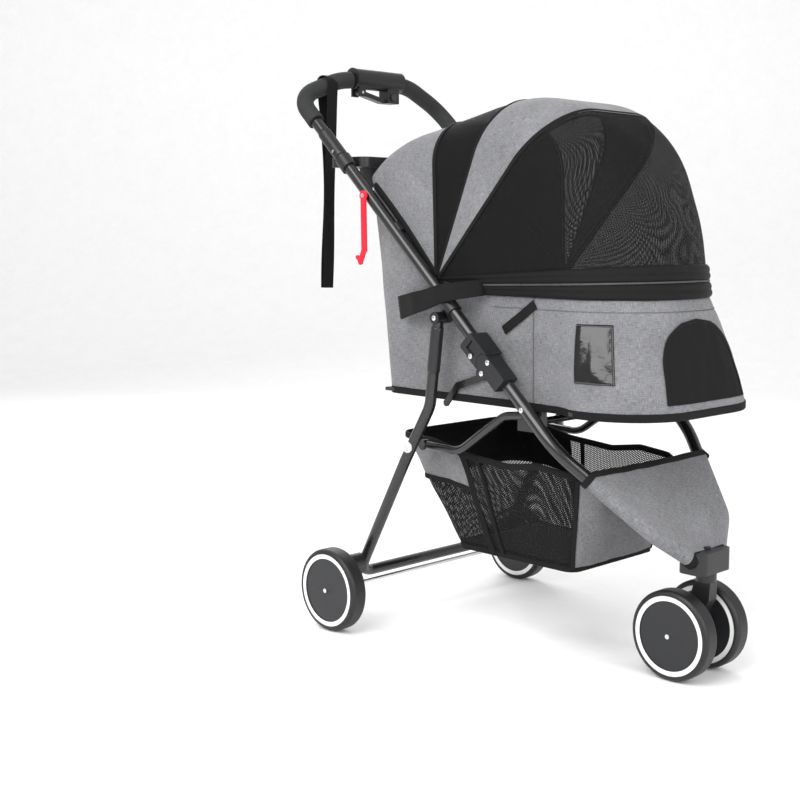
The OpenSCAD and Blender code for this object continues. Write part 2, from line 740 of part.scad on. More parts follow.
knee_1 = [axle_x + 193, leg_y, 425];
knee_2 = [axle_x + 130, leg_y, 320];
foot = [axle_x + 8, leg_y, axle_z + 22];
foot_run = 45;
leg_end = foot + unit(knee_2 - foot) * foot_run;
pivot_3d = [leg_pivot.x, leg_y, leg_pivot.z];
leg_wall = 1.5;
link_bolt = mix(knee_2, knee_1, 0.27);

module rear_leg() {
    color("black") difference() {
        union() {
            bent_tube([mix(pivot_3d, knee_1, 0.04), knee_1, knee_2, leg_end], [60, 90], leg_d,
                      leg_d - 2 * leg_wall);
            translate(pivot_3d - [0, leg_eye / 2, 0]) rotate([-90, 0, 0]) cylinder(h = leg_eye, d = leg_eye);
        }
        translate(pivot_3d + [0, -leg_d, 0]) rotate([-90, 0, 0])
            cylinder(h = 2 * leg_d, d = leg_pin_d + 2 * running);
    }
}
module rear_leg_left() rear_leg();
module rear_leg_right() mirror([0, 1, 0]) rear_leg();

module rear_cross_tube() {
    flip = function(p) [p.x, -p.y, p.z];
    color("black") bent_tube([leg_end, foot, flip(foot), flip(leg_end)], [30, 30], leg_d, leg_d - 2 * leg_wall);
}

axle_over = 3;
module rear_axle() {
    h = track + tyre_w + 2 * axle_over;
    color("silver") translate([axle_x, -h / 2, axle_z]) rotate([-90, 0, 0]) cylinder(h = h, d = axle_d);
}

brake_y0 = leg_y + leg_d / 2 + 0.3;
brake_y1 = track / 2 - tyre_w / 2 - 4;
cheek = 4;
pedal_pin = [axle_x - 16, axle_z + 29];
pedal_pin_d = 5;
module brake_housing() {
    color("dimgray") difference() {
        side_plate(brake_y0, brake_y1) union() {
            bar([[axle_x, axle_z], [axle_x + 22, axle_z + 48]], 30);
            bar([[axle_x, axle_z], pedal_pin], 22);
            bar([[axle_x + 18, axle_z + 40], pedal_pin], 18);
        }
        translate([axle_x, 0, axle_z]) rotate([-90, 0, 0]) cylinder(h = track, d = axle_d + 2 * fit);
        translate([pedal_pin.x, 0, pedal_pin.y]) rotate([-90, 0, 0])
            cylinder(h = track, d = pedal_pin_d + 2 * fit);
        side_plate(brake_y0 + cheek, brake_y1 - cheek) union() {
            translate([pedal_pin.x, pedal_pin.y]) circle(10);
            translate([pedal_pin.x - 40, pedal_pin.y - 40]) square([40, 60]);
        }
    }
}
module brake_housing_left() brake_housing();
module brake_housing_right() mirror([0, 1, 0]) brake_housing();

module brake_pedal() {
    color("gray") difference() {
        side_plate(brake_y0 + cheek + gap, brake_y1 - cheek - gap) union() {
            translate(pedal_pin) circle(8);
            bar([pedal_pin, pedal_pin + [-44, -2]], 10);
        }
        translate([pedal_pin.x, 0, pedal_pin.y]) rotate([-90, 0, 0])
            cylinder(h = track, d = pedal_pin_d + 2 * running);
    }
}
module brake_pedal_left() brake_pedal();
module brake_pedal_right() mirror([0, 1, 0]) brake_pedal();

// Brake pedal pins, link bolts with their bushings, and the housing rivets.
module rear_bolts() {
    color("silver") left_and_right() {
        translate([pedal_pin.x, brake_y0 + 0.2, pedal_pin.y]) rotate([-90, 0, 0])
            cylinder(h = brake_y1 - brake_y0 - 0.4, d = pedal_pin_d);
        translate([link_bolt.x, leg_y + leg_d / 2 + eps, link_bolt.z]) rotate([-90, 0, 0])
            cylinder(h = 5, d = 11);
        translate([axle_x + 22, brake_y1 + eps, axle_z + 48]) rotate([-90, 0, 0]) cylinder(h = 2, d = 9);
    }
}

// Tube arm from the seat bracket back to the rear leg, with a low bend.
link_eye_r = 9;
link_eye_h = link_d + 1;
module link_arm() {
    tail = [link_bolt.x, link_y, link_bolt.z];
    head = [link_pin.x, link_y, link_pin.z];
    low = [tail.x + 84, link_y, tail.z - 3];
    high = [head.x - 52, link_y, head.z - 6];
    color("black") difference() {
        union() {
            bent_tube([mix(tail, low, 0.06), low, high, mix(head, high, 0.1)], [60, 40], link_d);
            for (p = [tail, head]) translate(p - [0, link_eye_h / 2, 0]) rotate([-90, 0, 0])
                cylinder(h = link_eye_h, r = link_eye_r);
        }
        translate(head - [0, link_d, 0]) rotate([-90, 0, 0])
            cylinder(h = 2 * link_d, d = link_pin_d + 2 * running);
    }
}
module link_arm_left() link_arm();
module link_arm_right() mirror([0, 1, 0]) link_arm();

// ---- caster and wheels ----

front_axle_x = stem_x - trail;
crown_h = 16;
boss_half = twin_gap / 2 - tyre_w / 2 - 1.5;
module caster_fork() {
    color("dimgray") difference() {
        union() {
            translate([stem_x, 0, head_z - 2]) cylinder(h = head_h + 6, d = stem_d);
            translate([stem_x, 0, head_z - gap - crown_h]) cylinder(h = crown_h, d = 34);
            side_plate(-11, 11) polygon([
                [stem_x - 15, head_z - gap - crown_h], [stem_x + 15, head_z - gap - crown_h],
                [stem_x + 13, head_z - gap - crown_h - 30], [front_axle_x + 13, axle_z], [front_axle_x - 13, axle_z]
            ]);
            translate([front_axle_x, -boss_half, axle_z]) rotate([-90, 0, 0]) cylinder(h = 2 * boss_half, d = 26);
        }
        translate([front_axle_x, -track, axle_z]) rotate([-90, 0, 0])
            cylinder(h = 2 * track, d = axle_d + 2 * fit);
    }
}

module front_axle() {
    h = twin_gap + tyre_w + 2 * axle_over;
    color("silver") translate([front_axle_x, -h / 2, axle_z]) rotate([-90, 0, 0]) cylinder(h = h, d = axle_d);
}

tread = 8;                              // rounding of the tyre's shoulders
module tyre(x, y) {
    color("black") translate([x, y, axle_z]) rotate([-90, 0, 0]) rotate_extrude($fn = 96) difference() {
        translate([wheel_body_d / 2 - 10, -tyre_w / 2]) rounded([wheel_d / 2 - wheel_body_d / 2 + 10, tyre_w], tread);
        translate([0, -tyre_w]) square([wheel_body_d / 2 + fit, 2 * tyre_w]);
    }
}

disc_r = 0.435 * wheel_body_d;
disc_dish = 1.2;
module wheel_body(x, y) {
    color("dimgray") translate([x, y, axle_z]) rotate([-90, 0, 0]) difference() {
        translate([0, 0, -tyre_w / 2 + 1]) cylinder(h = tyre_w - 2, d = wheel_body_d, $fn = 96);
        for (z = [-tyre_w, tyre_w / 2 - 1 - disc_dish]) translate([0, 0, z])
            cylinder(h = tyre_w / 2 + 1 + disc_dish, r = disc_r, $fn = 96);
        translate([0, 0, -tyre_w]) cylinder(h = 2 * tyre_w, d = axle_d + 2 * running);
    }
}
module rear_tyre_left() tyre(axle_x, track / 2);
module rear_tyre_right() tyre(axle_x, -track / 2);
module rear_wheel_left() wheel_body(axle_x, track / 2);
module rear_wheel_right() wheel_body(axle_x, -track / 2);
module front_tyre_left() tyre(front_axle_x, twin_gap / 2);
module front_tyre_right() tyre(front_axle_x, -twin_gap / 2);
module front_wheel_left() wheel_body(front_axle_x, twin_gap / 2);
module front_wheel_right() wheel_body(front_axle_x, -twin_gap / 2);

front_tube_left();
front_tube_right();
head_block();
lower_latch_left();
lower_latch_right();
support_arm_left();
support_arm_right();
seat_bracket();
frame_rivets();
cabin_board();
cabin_walls();
rim_wire();
rear_hood();
floor_pad();
basket();
basket_board();
front_shield();
handle_tube_left();
handle_tube_right();
grip_left();
grip_right();
release_housing();
upper_latch_left();
upper_latch_right();
cup_tray();
tray_clamps();
wrist_strap();
leg_bracket_left();
leg_bracket_right();
handle_rivets();
release_lever();
safety_button();
latch_pin_left();
latch_pin_right();
fold_hook();
rear_leg_left();
rear_leg_right();
rear_cross_tube();
rear_axle();
brake_housing_left();
brake_housing_right();
rear_bolts();
brake_pedal_left();
brake_pedal_right();
link_arm_left();
link_arm_right();
caster_fork();
front_axle();
rear_tyre_left();
rear_wheel_left();
rear_tyre_right();
rear_wheel_right();
front_tyre_left();
front_wheel_left();
front_tyre_right();
front_wheel_right();
canopy_bow();
canopy_hoop();
canopy_band();
canopy_dome();
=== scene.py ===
import json
import math

import bmesh
import bpy
import numpy as np
from mathutils import Matrix, Vector

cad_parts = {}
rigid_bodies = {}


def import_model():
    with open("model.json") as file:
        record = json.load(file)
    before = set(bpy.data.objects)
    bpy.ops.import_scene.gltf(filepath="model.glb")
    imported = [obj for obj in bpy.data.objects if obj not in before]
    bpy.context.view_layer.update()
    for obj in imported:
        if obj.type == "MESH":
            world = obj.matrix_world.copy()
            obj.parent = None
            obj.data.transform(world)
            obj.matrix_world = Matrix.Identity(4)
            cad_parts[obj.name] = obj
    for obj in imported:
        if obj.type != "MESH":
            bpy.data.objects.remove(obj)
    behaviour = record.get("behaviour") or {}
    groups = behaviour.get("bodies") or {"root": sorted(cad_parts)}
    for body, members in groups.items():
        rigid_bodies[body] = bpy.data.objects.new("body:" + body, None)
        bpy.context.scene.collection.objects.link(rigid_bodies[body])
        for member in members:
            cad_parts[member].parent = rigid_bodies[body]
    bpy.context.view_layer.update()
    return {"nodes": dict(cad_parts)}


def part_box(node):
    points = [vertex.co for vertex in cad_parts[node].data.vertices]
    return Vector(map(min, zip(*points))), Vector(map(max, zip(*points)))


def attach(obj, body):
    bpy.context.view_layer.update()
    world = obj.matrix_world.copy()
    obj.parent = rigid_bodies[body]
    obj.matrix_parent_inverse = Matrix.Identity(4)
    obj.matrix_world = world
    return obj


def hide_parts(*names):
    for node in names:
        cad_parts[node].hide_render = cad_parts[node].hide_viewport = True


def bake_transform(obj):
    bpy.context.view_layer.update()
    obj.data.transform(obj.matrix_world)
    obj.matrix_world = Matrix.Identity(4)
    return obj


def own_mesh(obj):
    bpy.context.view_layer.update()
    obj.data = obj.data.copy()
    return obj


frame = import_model()
nodes = frame["nodes"]

# ---- studio ----
# A pale floor that curves up into a backdrop, lit by three large soft panels and
# a bright dome. The camera stands ahead of the stroller's right side at push-bar height.
def surface(name, points, uv, finishes, wrap=False, which=None):
    """Quilt of four-sided faces through points[row, column]. uv holds a metre-true place for each point;
    wrap joins the last column to the first, and which picks a finish for each face."""
    rows, columns = points.shape[:2]
    index = np.arange(rows * columns).reshape(rows, columns)
    if wrap:
        index = np.concatenate([index, index[:, :1]], 1)
        if uv.shape[1] == columns:
            uv = np.concatenate([uv, 2 * uv[:, -1:] - uv[:, -2:-1]], 1)
    corner = lambda a: np.stack([a[:-1, :-1], a[:-1, 1:], a[1:, 1:], a[1:, :-1]], 2)
    faces = corner(index[..., None]).reshape(-1, 4)
    mesh = bpy.data.meshes.new(name)
    mesh.from_pydata(points.reshape(-1, 3).tolist(), [], faces.tolist())
    layer = mesh.uv_layers.new(name="cut")
    layer.data.foreach_set("uv", corner(uv).reshape(-1).astype(np.float32))
    mesh.polygons.foreach_set("use_smooth", np.ones(len(faces), bool))
    for f in finishes:
        mesh.materials.append(f)
    if which is not None:
        mesh.polygons.foreach_set("material_index", which.reshape(-1).astype(np.int32))
    piece = bpy.data.objects.new(name, mesh)
    bpy.context.scene.collection.objects.link(piece)
    return piece


def nodes_of(name):
    """A new material with its shader and output, ready for more nodes."""
    made = bpy.data.materials.new(name)
    made.use_nodes = True
    tree = made.node_tree
    return made, tree, tree.nodes["Principled BSDF"]


def hard_finish(name, colour, rough, grain, lift, vary=0.2, metal=0.0, coat=0.0):
    """Solid finish: noise of the grain size, in metres, lifts the face by lift and shifts
    brightness and gloss by the share vary; a slower noise adds handling marks."""
    made, tree, shader = nodes_of(name)
    place = tree.nodes.new("ShaderNodeTexCoord")
    fine = tree.nodes.new("ShaderNodeTexNoise")
    fine.inputs["Scale"].default_value = 1 / grain
    fine.inputs["Detail"].default_value = 3
    slow = tree.nodes.new("ShaderNodeTexNoise")
    slow.inputs["Scale"].default_value = 14
    slow.inputs["Detail"].default_value = 4
    both = tree.nodes.new("ShaderNodeMath")
    both.operation = "ADD"
    tone = tree.nodes.new("ShaderNodeMapRange")
    tone.inputs["From Min"].default_value, tone.inputs["From Max"].default_value = 0.7, 1.3
    mix = tree.nodes.new("ShaderNodeMix")
    mix.data_type = "RGBA"
    mix.inputs[6].default_value = (*[c * (1 - vary) for c in colour], 1)
    mix.inputs[7].default_value = (*[min(1, c * (1 + vary)) for c in colour], 1)
    gloss = tree.nodes.new("ShaderNodeMapRange")
    gloss.inputs["From Min"].default_value, gloss.inputs["From Max"].default_value = 0.35, 0.65
    gloss.inputs["To Min"].default_value = rough * (1 - vary / 2)
    gloss.inputs["To Max"].default_value = min(1, rough * (1 + vary / 2))
    bump = tree.nodes.new("ShaderNodeBump")
    bump.inputs["Distance"].default_value = lift
    bump.inputs["Strength"].default_value = 0.6
    link = tree.links.new
    for n in (fine, slow):
        link(place.outputs["Object"], n.inputs["Vector"])
    link(fine.outputs["Fac"], both.inputs[0])
    link(slow.outputs["Fac"], both.inputs[1])
    link(both.outputs[0], tone.inputs["Value"])
    link(tone.outputs[0], mix.inputs[0])
    link(mix.outputs[2], shader.inputs["Base Color"])
    link(slow.outputs["Fac"], gloss.inputs["Value"])
    link(gloss.outputs[0], shader.inputs["Roughness"])
    link(fine.outputs["Fac"], bump.inputs["Height"])
    link(bump.outputs[0], shader.inputs["Normal"])
    shader.inputs["Metallic"].default_value = metal
    shader.inputs["Coat Weight"].default_value = coat
    return made


sweep = np.linspace(0, 1, 40)
run_back = np.concatenate([np.linspace(-6, 3.5, 12)[:-1], 3.5 + 1.5 * np.sin(sweep * math.pi / 2)])
run_up = np.concatenate([np.zeros(11), 1.5 - 1.5 * np.cos(sweep * math.pi / 2)])
run_back, run_up = np.append(run_back, 5.0), np.append(run_up, 7.0)
across = np.linspace(-8, 8, 9)
away = np.array([-0.684, 0.729])
floor_points = np.stack([
    run_back[:, None] * away[0] + across[None] * away[1],
    run_back[:, None] * away[1] - across[None] * away[0],
    np.repeat(run_up[:, None], 9, 1)], -1)
floor_points[..., 2] -= 0.0005
paper = hard_finish("paper_sweep", (0.95, 0.95, 0.95), 0.9, 0.02, 0.0002, 0.02)
floor = surface("studio_floor", floor_points[:, ::-1], floor_points[..., :2], [paper])

back = Vector((0.6803, -0.7247, 0.1092)).normalized()
right = Vector((0, 0, 1)).cross(back).normalized()
turn = math.radians(0.40)
right = right * math.cos(turn) + back.cross(right) * math.sin(turn)
up = back.cross(right)
camera = bpy.data.objects.new("camera", bpy.data.cameras.new("camera"))
camera.data.sensor_width = 36
camera.data.lens = 60.13
camera.data.shift_x, camera.data.shift_y = -0.0989, -0.0317
camera.matrix_world = Matrix((
    (right.x, up.x, back.x, 1.5770), (right.y, up.y, back.y, -1.8121),
    (right.z, up.z, back.z, 0.7320), (0, 0, 0, 1)))
bpy.context.scene.collection.objects.link(camera)
bpy.context.scene.camera = camera

for label, place, aim, side, power in (
    ("key_panel", (0.4, -2.6, 2.7), (0, 0, 0.5), 2.4, 105),
    ("front_panel", (3.0, -0.6, 1.6), (0, 0, 0.5), 2.0, 50),
    ("rear_panel", (-2.4, 1.2, 2.4), (0, 0, 0.6), 1.8, 45),
):
    panel = bpy.data.objects.new(label, bpy.data.lights.new(label, "AREA"))
    panel.data.shape = "SQUARE"
    panel.data.size = side
    panel.data.energy = power
    panel.location = place
    panel.rotation_mode = "QUATERNION"
    panel.rotation_quaternion = (Vector(aim) - Vector(place)).to_track_quat("-Z", "Y")
    bpy.context.scene.collection.objects.link(panel)
world = bpy.data.worlds.new("soft_dome")
world.use_nodes = True
world.node_tree.nodes["Background"].inputs["Color"].default_value = (1, 1, 1, 1)
world.node_tree.nodes["Background"].inputs["Strength"].default_value = 0.72
bpy.context.scene.world = world
bpy.context.scene.view_settings.view_transform = "Standard"


# ---- frame tubes ----
# Round steel tube, 22 mm for the handle and front frame, 20 mm for the legs and 14 mm
# for the link arms, bent cold and powder coated in gloss black.
def dress(finish, *names):
    """Gives CAD nodes their finish through the object's own slots."""
    for name in names:
        part = nodes[name]
        if not part.material_slots:
            part.data.materials.append(finish)
        for holder in part.material_slots:
            holder.link = "OBJECT"
            holder.material = finish


coated_tube = hard_finish("gloss_black_coat", (0.006, 0.006, 0.0065), 0.27, 0.004, 0.00004, 0.25, coat=0.35)
dress(coated_tube, "front_tube_left", "front_tube_right", "handle_tube_left", "handle_tube_right",
      "rear_leg_left", "rear_leg_right", "rear_cross_tube", "link_arm_left", "link_arm_right",
      "support_arm_left", "support_arm_right", "seat_bracket", "rim_wire", "canopy_bow", "canopy_hoop")

# ---- moulded fittings ----
# Latch housings, brackets, caster head and fork, brake housings and the cup tray are
# injection moulded in satin black; screws, pins and axles are bright plated steel.
moulding = hard_finish("satin_black_moulding", (0.0085, 0.0088, 0.0100), 0.4, 0.0007, 0.00005, 0.18)
dress(moulding, "head_block", "lower_latch_left", "lower_latch_right", "upper_latch_left",
      "upper_latch_right", "cup_tray", "tray_clamps", "leg_bracket_left", "leg_bracket_right",
      "release_housing", "release_lever", "brake_housing_left", "brake_housing_right", "caster_fork")
pedal_grey = hard_finish("pedal_grey", (0.05, 0.052, 0.056), 0.5, 0.0007, 0.00006, 0.15)
dress(pedal_grey, "brake_pedal_left", "brake_pedal_right")
plated = hard_finish("bright_plate", (0.72, 0.73, 0.75), 0.2, 0.002, 0.00001, 0.08, metal=1.0)
dress(plated, "frame_rivets", "handle_rivets", "rear_bolts", "rear_axle", "front_axle",
      "latch_pin_left", "latch_pin_right")
signal_red = hard_finish("red_moulding", (0.78, 0.008, 0.03), 0.32, 0.001, 0.00003, 0.06)
dress(signal_red, "fold_hook")
button_dark = hard_finish("button_dark", (0.03, 0.03, 0.033), 0.35, 0.001, 0.00003, 0.1)
dress(button_dark, "safety_button")

# ---- grips ----
# Closed-cell foam sleeves pushed over the handle's bends while inflated; the skin is
# matt with fine pores.
foam = hard_finish("pored_foam", (0.016, 0.0165, 0.0175), 0.8, 0.0011, 0.00022, 0.3)
dress(foam, "grip_left", "grip_right")

# ---- wheels ----
# Moulded foam tyres on dark discs, with a white ring painted on the raised rim of
# each face. The two front wheels are the same moulding as the rear ones.
tyre_skin = hard_finish("tyre_skin", (0.008, 0.008, 0.0085), 0.5, 0.0012, 0.0001, 0.2)
dress(tyre_skin, "rear_tyre_left", "rear_tyre_right", "front_tyre_left", "front_tyre_right")


def ringed_disc(name, hub_x, hub_z, ring_from):
    """Disc finish: white wherever the distance from the hub, the root of x squared plus z
    squared, passes the ring's inner radius, and dark moulding inside it."""
    made = hard_finish(name, (0.012, 0.0125, 0.0145), 0.45, 0.0009, 0.00006, 0.15)
    tree = made.node_tree
    shader = tree.nodes["Principled BSDF"]
    place = tree.nodes.new("ShaderNodeTexCoord")
    centre = tree.nodes.new("ShaderNodeMapping")
    centre.inputs["Location"].default_value = (-hub_x, 0, -hub_z)
    flat = tree.nodes.new("ShaderNodeVectorMath")
    flat.operation = "MULTIPLY"
    flat.inputs[1].default_value = (1, 0, 1)
    reach = tree.nodes.new("ShaderNodeVectorMath")
    reach.operation = "LENGTH"
    ring = tree.nodes.new("ShaderNodeMapRange")
    ring.inputs["From Min"].default_value = ring_from - 0.0002
    ring.inputs["From Max"].default_value = ring_from + 0.0002
    paint = tree.nodes.new("ShaderNodeMix")
    paint.data_type = "RGBA"
    paint.inputs[7].default_value = (0.86, 0.86, 0.85, 1)
    link = tree.links.new
    dark = shader.inputs["Base Color"].links[0].from_socket
    link(place.outputs["Object"], centre.inputs["Vector"])
    link(centre.outputs[0], flat.inputs[0])
    link(flat.outputs[0], reach.inputs[0])
    link(reach.outputs["Value"], ring.inputs["Value"])
    link(ring.outputs[0], paint.inputs[0])
    link(dark, paint.inputs[6])
    link(paint.outputs[2], shader.inputs["Base Color"])
    return made


rear_hub = sum(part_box("rear_wheel_left"), Vector()) / 2
front_hub = sum(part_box("front_wheel_left"), Vector()) / 2
dress(ringed_disc("rear_disc", rear_hub.x, rear_hub.z, 0.0579), "rear_wheel_left", "rear_wheel_right")
dress(ringed_disc("front_disc", front_hub.x, front_hub.z, 0.0579), "front_wheel_left", "front_wheel_right")

# ---- cabin ----
# A linen-look polyester tub: one wall of lined cloth runs round the floor board, bellies
# out between its seams and is bound in black where it meets the board. Behind the canopy
# pivots the wall climbs to the hood.
pivot = np.array([-0.06503, 0.0, 0.64142])
deck_z, rim_z = 0.441, 0.6215


def filleted(corners, radii, steps=10):
    """Line through the corners with each inner corner rounded: between points one tangent length
    r tan(turn / 2) either side of it runs the circle arc, as a conic with weight cos(turn / 2)."""
    corners = np.array(corners, float)
    line = [corners[:1]]
    for before, corner, after, r in zip(corners[:-2], corners[1:-1], corners[2:], radii):
        a, b = ((corner - before) / np.linalg.norm(corner - before),
                (after - corner) / np.linalg.norm(after - corner))
        half = math.acos(np.clip(a @ b, -1, 1)) / 2
        start, end = corner - a * r * math.tan(half), corner + b * r * math.tan(half)
        t = np.linspace(0, 1, steps)[:, None]
        w = math.cos(half)
        line.append(((1 - t) ** 2 * start + 2 * t * (1 - t) * w * corner + t**2 * end)
                    / ((1 - t) ** 2 + 2 * t * (1 - t) * w + t**2))
    line.append(corners[-1:])
    return np.concatenate(line)


def even(line, count):
    """The same line as count points an equal length apart."""
    along = np.append(0, np.cumsum(np.linalg.norm(np.diff(line, axis=0), axis=1)))
    at = np.linspace(0, along[-1], count)
    return np.stack([np.interp(at, along, line[:, k]) for k in range(line.shape[1])], -1)


def length_of(line):
    """Running length along a line, from 0."""
    return np.append(0, np.cumsum(np.linalg.norm(np.diff(line, axis=0), axis=1)))


def ripple(u, v, seed, size, height):
    """Soft creases: the mean of five sine waves of the given size in seeded directions."""
    draw = np.random.default_rng(seed)
    total = 0
    for _ in range(5):
        angle, phase, pitch = draw.uniform(0, math.pi), draw.uniform(0, 6.28), size * draw.uniform(0.6, 1.7)
        total = total + np.sin(6.283 * (u * math.cos(angle) + v * math.sin(angle)) / pitch + phase)
    return height * total / 5


def arch(angle, reach, half_y, count, low=0.0):
    """Arch over the stroller in the plane at an angle above the horizontal through the canopy pivots:
    up the right side, round a corner, across and down the left side. The corner's radius falls
    evenly from 160 mm at the front hoop to 38 mm at the hood's rear edge."""
    corner = min(0.16 - 0.122 * (angle - 4) / 130, half_y - 0.002)
    flat = filleted([[low, -half_y], [reach, -half_y], [reach, half_y], [low, half_y]], [corner, corner], 14)
    flat = even(flat, count)
    a = math.radians(angle)
    return np.stack([pivot[0] + flat[:, 0] * math.cos(a), flat[:, 1],
                     pivot[2] + flat[:, 0] * math.sin(a)], -1)


def reach_at(angle):
    """Reach of the canopy from its pivots: 398 mm up to 30 degrees, 265 mm past 105, a half cosine between."""
    share = np.clip((np.asarray(angle, float) - 30) / 75, 0, 1)
    return 0.265 + 0.133 * (1 + np.cos(np.pi * share)) / 2


def linen(name, light, dark, thread=0.0011):
    """Melange plain weave on the cut's own metres: two noises drawn out along warp and weft choose
    between a pale and a dark yarn, and crossed sine waves lift each thread."""
    made, tree, shader = nodes_of(name)
    place = tree.nodes.new("ShaderNodeUVMap")
    place.uv_map = "cut"
    link = tree.links.new
    yarns = []
    for stretch in ((70, 950, 1), (950, 90, 1), (9, 14, 1)):
        spread = tree.nodes.new("ShaderNodeMapping")
        spread.inputs["Scale"].default_value = stretch
        yarn = tree.nodes.new("ShaderNodeTexNoise")
        yarn.inputs["Scale"].default_value = 1
        yarn.inputs["Detail"].default_value = 3
        yarn.inputs["Roughness"].default_value = 0.65
        link(place.outputs[0], spread.inputs["Vector"])
        link(spread.outputs[0], yarn.inputs["Vector"])
        yarns.append(yarn.outputs["Fac"])
    joined = tree.nodes.new("ShaderNodeMath")
    joined.operation = "ADD"
    link(yarns[0], joined.inputs[0])
    link(yarns[1], joined.inputs[1])
    aged = tree.nodes.new("ShaderNodeMath")
    aged.operation = "MULTIPLY_ADD"
    aged.inputs[1].default_value = 0.35
    link(yarns[2], aged.inputs[0])
    link(joined.outputs[0], aged.inputs[2])
    pick = tree.nodes.new("ShaderNodeMapRange")
    pick.inputs["From Min"].default_value, pick.inputs["From Max"].default_value = 0.93, 1.42
    link(aged.outputs[0], pick.inputs["Value"])
    mix = tree.nodes.new("ShaderNodeMix")
    mix.data_type = "RGBA"
    mix.inputs[6].default_value, mix.inputs[7].default_value = (*dark, 1), (*light, 1)
    link(pick.outputs[0], mix.inputs[0])
    link(mix.outputs[2], shader.inputs["Base Color"])
    split = tree.nodes.new("ShaderNodeSeparateXYZ")
    link(place.outputs[0], split.inputs[0])
    waves = []
    for k in (0, 1):
        wave = tree.nodes.new("ShaderNodeMath")
        wave.operation = "MULTIPLY"
        wave.inputs[1].default_value = 3.1416 / thread
        sine = tree.nodes.new("ShaderNodeMath")
        sine.operation = "SINE"
        link(split.outputs[k], wave.inputs[0])
        link(wave.outputs[0], sine.inputs[0])
        waves.append(sine.outputs[0])
    cross = tree.nodes.new("ShaderNodeMath")
    cross.operation = "MULTIPLY"
    link(waves[0], cross.inputs[0])
    link(waves[1], cross.inputs[1])
    height = tree.nodes.new("ShaderNodeMath")
    height.operation = "MULTIPLY_ADD"
    height.inputs[1].default_value = 0.35
    link(cross.outputs[0], height.inputs[0])
    link(joined.outputs[0], height.inputs[2])
    bump = tree.nodes.new("ShaderNodeBump")
    bump.inputs["Distance"].default_value = 0.0005
    bump.inputs["Strength"].default_value = 0.55
    link(height.outputs[0], bump.inputs["Height"])
    link(bump.outputs[0], shader.inputs["Normal"])
    shader.inputs["Roughness"].default_value = 0.88
    shader.inputs["Sheen Weight"].default_value = 0.12
    shader.inputs["Sheen Roughness"].default_value = 0.5
    return made


def webbing(name, colour, rib=0.0016, rough=0.75):
    """Ribbed tape: sine ribs along the cut's length lift the face, and noise greys the ribs."""
    made, tree, shader = nodes_of(name)
    place = tree.nodes.new("ShaderNodeUVMap")
    place.uv_map = "cut"
    split = tree.nodes.new("ShaderNodeSeparateXYZ")
    grow = tree.nodes.new("ShaderNodeMath")
    grow.operation = "MULTIPLY"
    grow.inputs[1].default_value = 6.2832 / rib
    sine = tree.nodes.new("ShaderNodeMath")
    sine.operation = "SINE"
    fuzz = tree.nodes.new("ShaderNodeTexNoise")
    fuzz.inputs["Scale"].default_value = 900
    fuzz.inputs["Detail"].default_value = 2
    mix = tree.nodes.new("ShaderNodeMix")
    mix.data_type = "RGBA"
    mix.inputs[6].default_value = (*[c * 0.6 for c in colour], 1)
    mix.inputs[7].default_value = (*[c * 1.5 for c in colour], 1)
    bump = tree.nodes.new("ShaderNodeBump")
    bump.inputs["Distance"].default_value = 0.0003
    bump.inputs["Strength"].default_value = 0.6
    link = tree.links.new
    link(place.outputs[0], split.inputs[0])
    link(place.outputs[0], fuzz.inputs["Vector"])
    link(split.outputs[1], grow.inputs[0])
    link(grow.outputs[0], sine.inputs[0])
    link(fuzz.outputs["Fac"], mix.inputs[0])
    link(mix.outputs[2], shader.inputs["Base Color"])
    link(sine.outputs[0], bump.inputs["Height"])
    link(bump.outputs[0], shader.inputs["Normal"])
    shader.inputs["Roughness"].default_value = rough
    shader.inputs["Specular IOR Level"].default_value = 0.2
    return made


def unit(a):
    return a / np.maximum(np.linalg.norm(a, axis=-1, keepdims=True), 1e-9)


def heading(line, closed=False):
    """Unit direction of a line at each of its points."""
    if closed:
        return unit(np.roll(line, -1, 0) - np.roll(line, 1, 0))
    return unit(np.gradient(line, axis=0))


def swept(name, line, face, profile, finish, closed=False):
    """A profile carried along a line: each profile point (a, b) lies a to the side and b towards the
    face direction. Open ends are closed by drawing the profile in to its middle."""
    ahead = heading(line, closed)
    face = np.broadcast_to(np.asarray(face, float), line.shape)
    side = unit(np.cross(face, ahead))
    face = np.cross(ahead, side)
    profile = np.asarray(profile, float)
    run = length_of(line)
    size = np.ones(len(line))
    if not closed:
        pad = np.r_[0, np.arange(len(line)), len(line) - 1]
        line, side, face, run = line[pad], side[pad], face[pad], run[pad]
        size = np.r_[0, size, 0]
    middle = profile.mean(0)
    drawn = middle + (profile - middle)[None] * size[:, None, None]
    points = line[:, None] + drawn[..., :1] * side[:, None] + drawn[..., 1:] * face[:, None]
    around = length_of(np.concatenate([profile, profile[:1]]))
    uv = np.stack(np.broadcast_arrays(around[None], run[:, None]), -1)
    if closed:
        points = np.concatenate([points, points[:1]])
        uv = np.concatenate([uv, uv[-1:] + uv[1:2] - uv[:1]])
    piece = surface(name, points, uv, [finish], wrap=True)
    return weld(piece)


def weld(piece):
    """Closes seams and poles: points a hundredth of a millimetre apart become one."""
    shape = bmesh.new()
    shape.from_mesh(piece.data)
    bmesh.ops.remove_doubles(shape, verts=shape.verts, dist=1e-5)
    shape.to_mesh(piece.data)
    shape.free()
    return piece


def ring(a, b, count=12):
    """Oval profile, a wide to the side and b towards the face."""
    t = np.linspace(0, 2 * math.pi, count, endpoint=False)
    return np.stack([a * np.cos(t), b * np.sin(t)], -1)


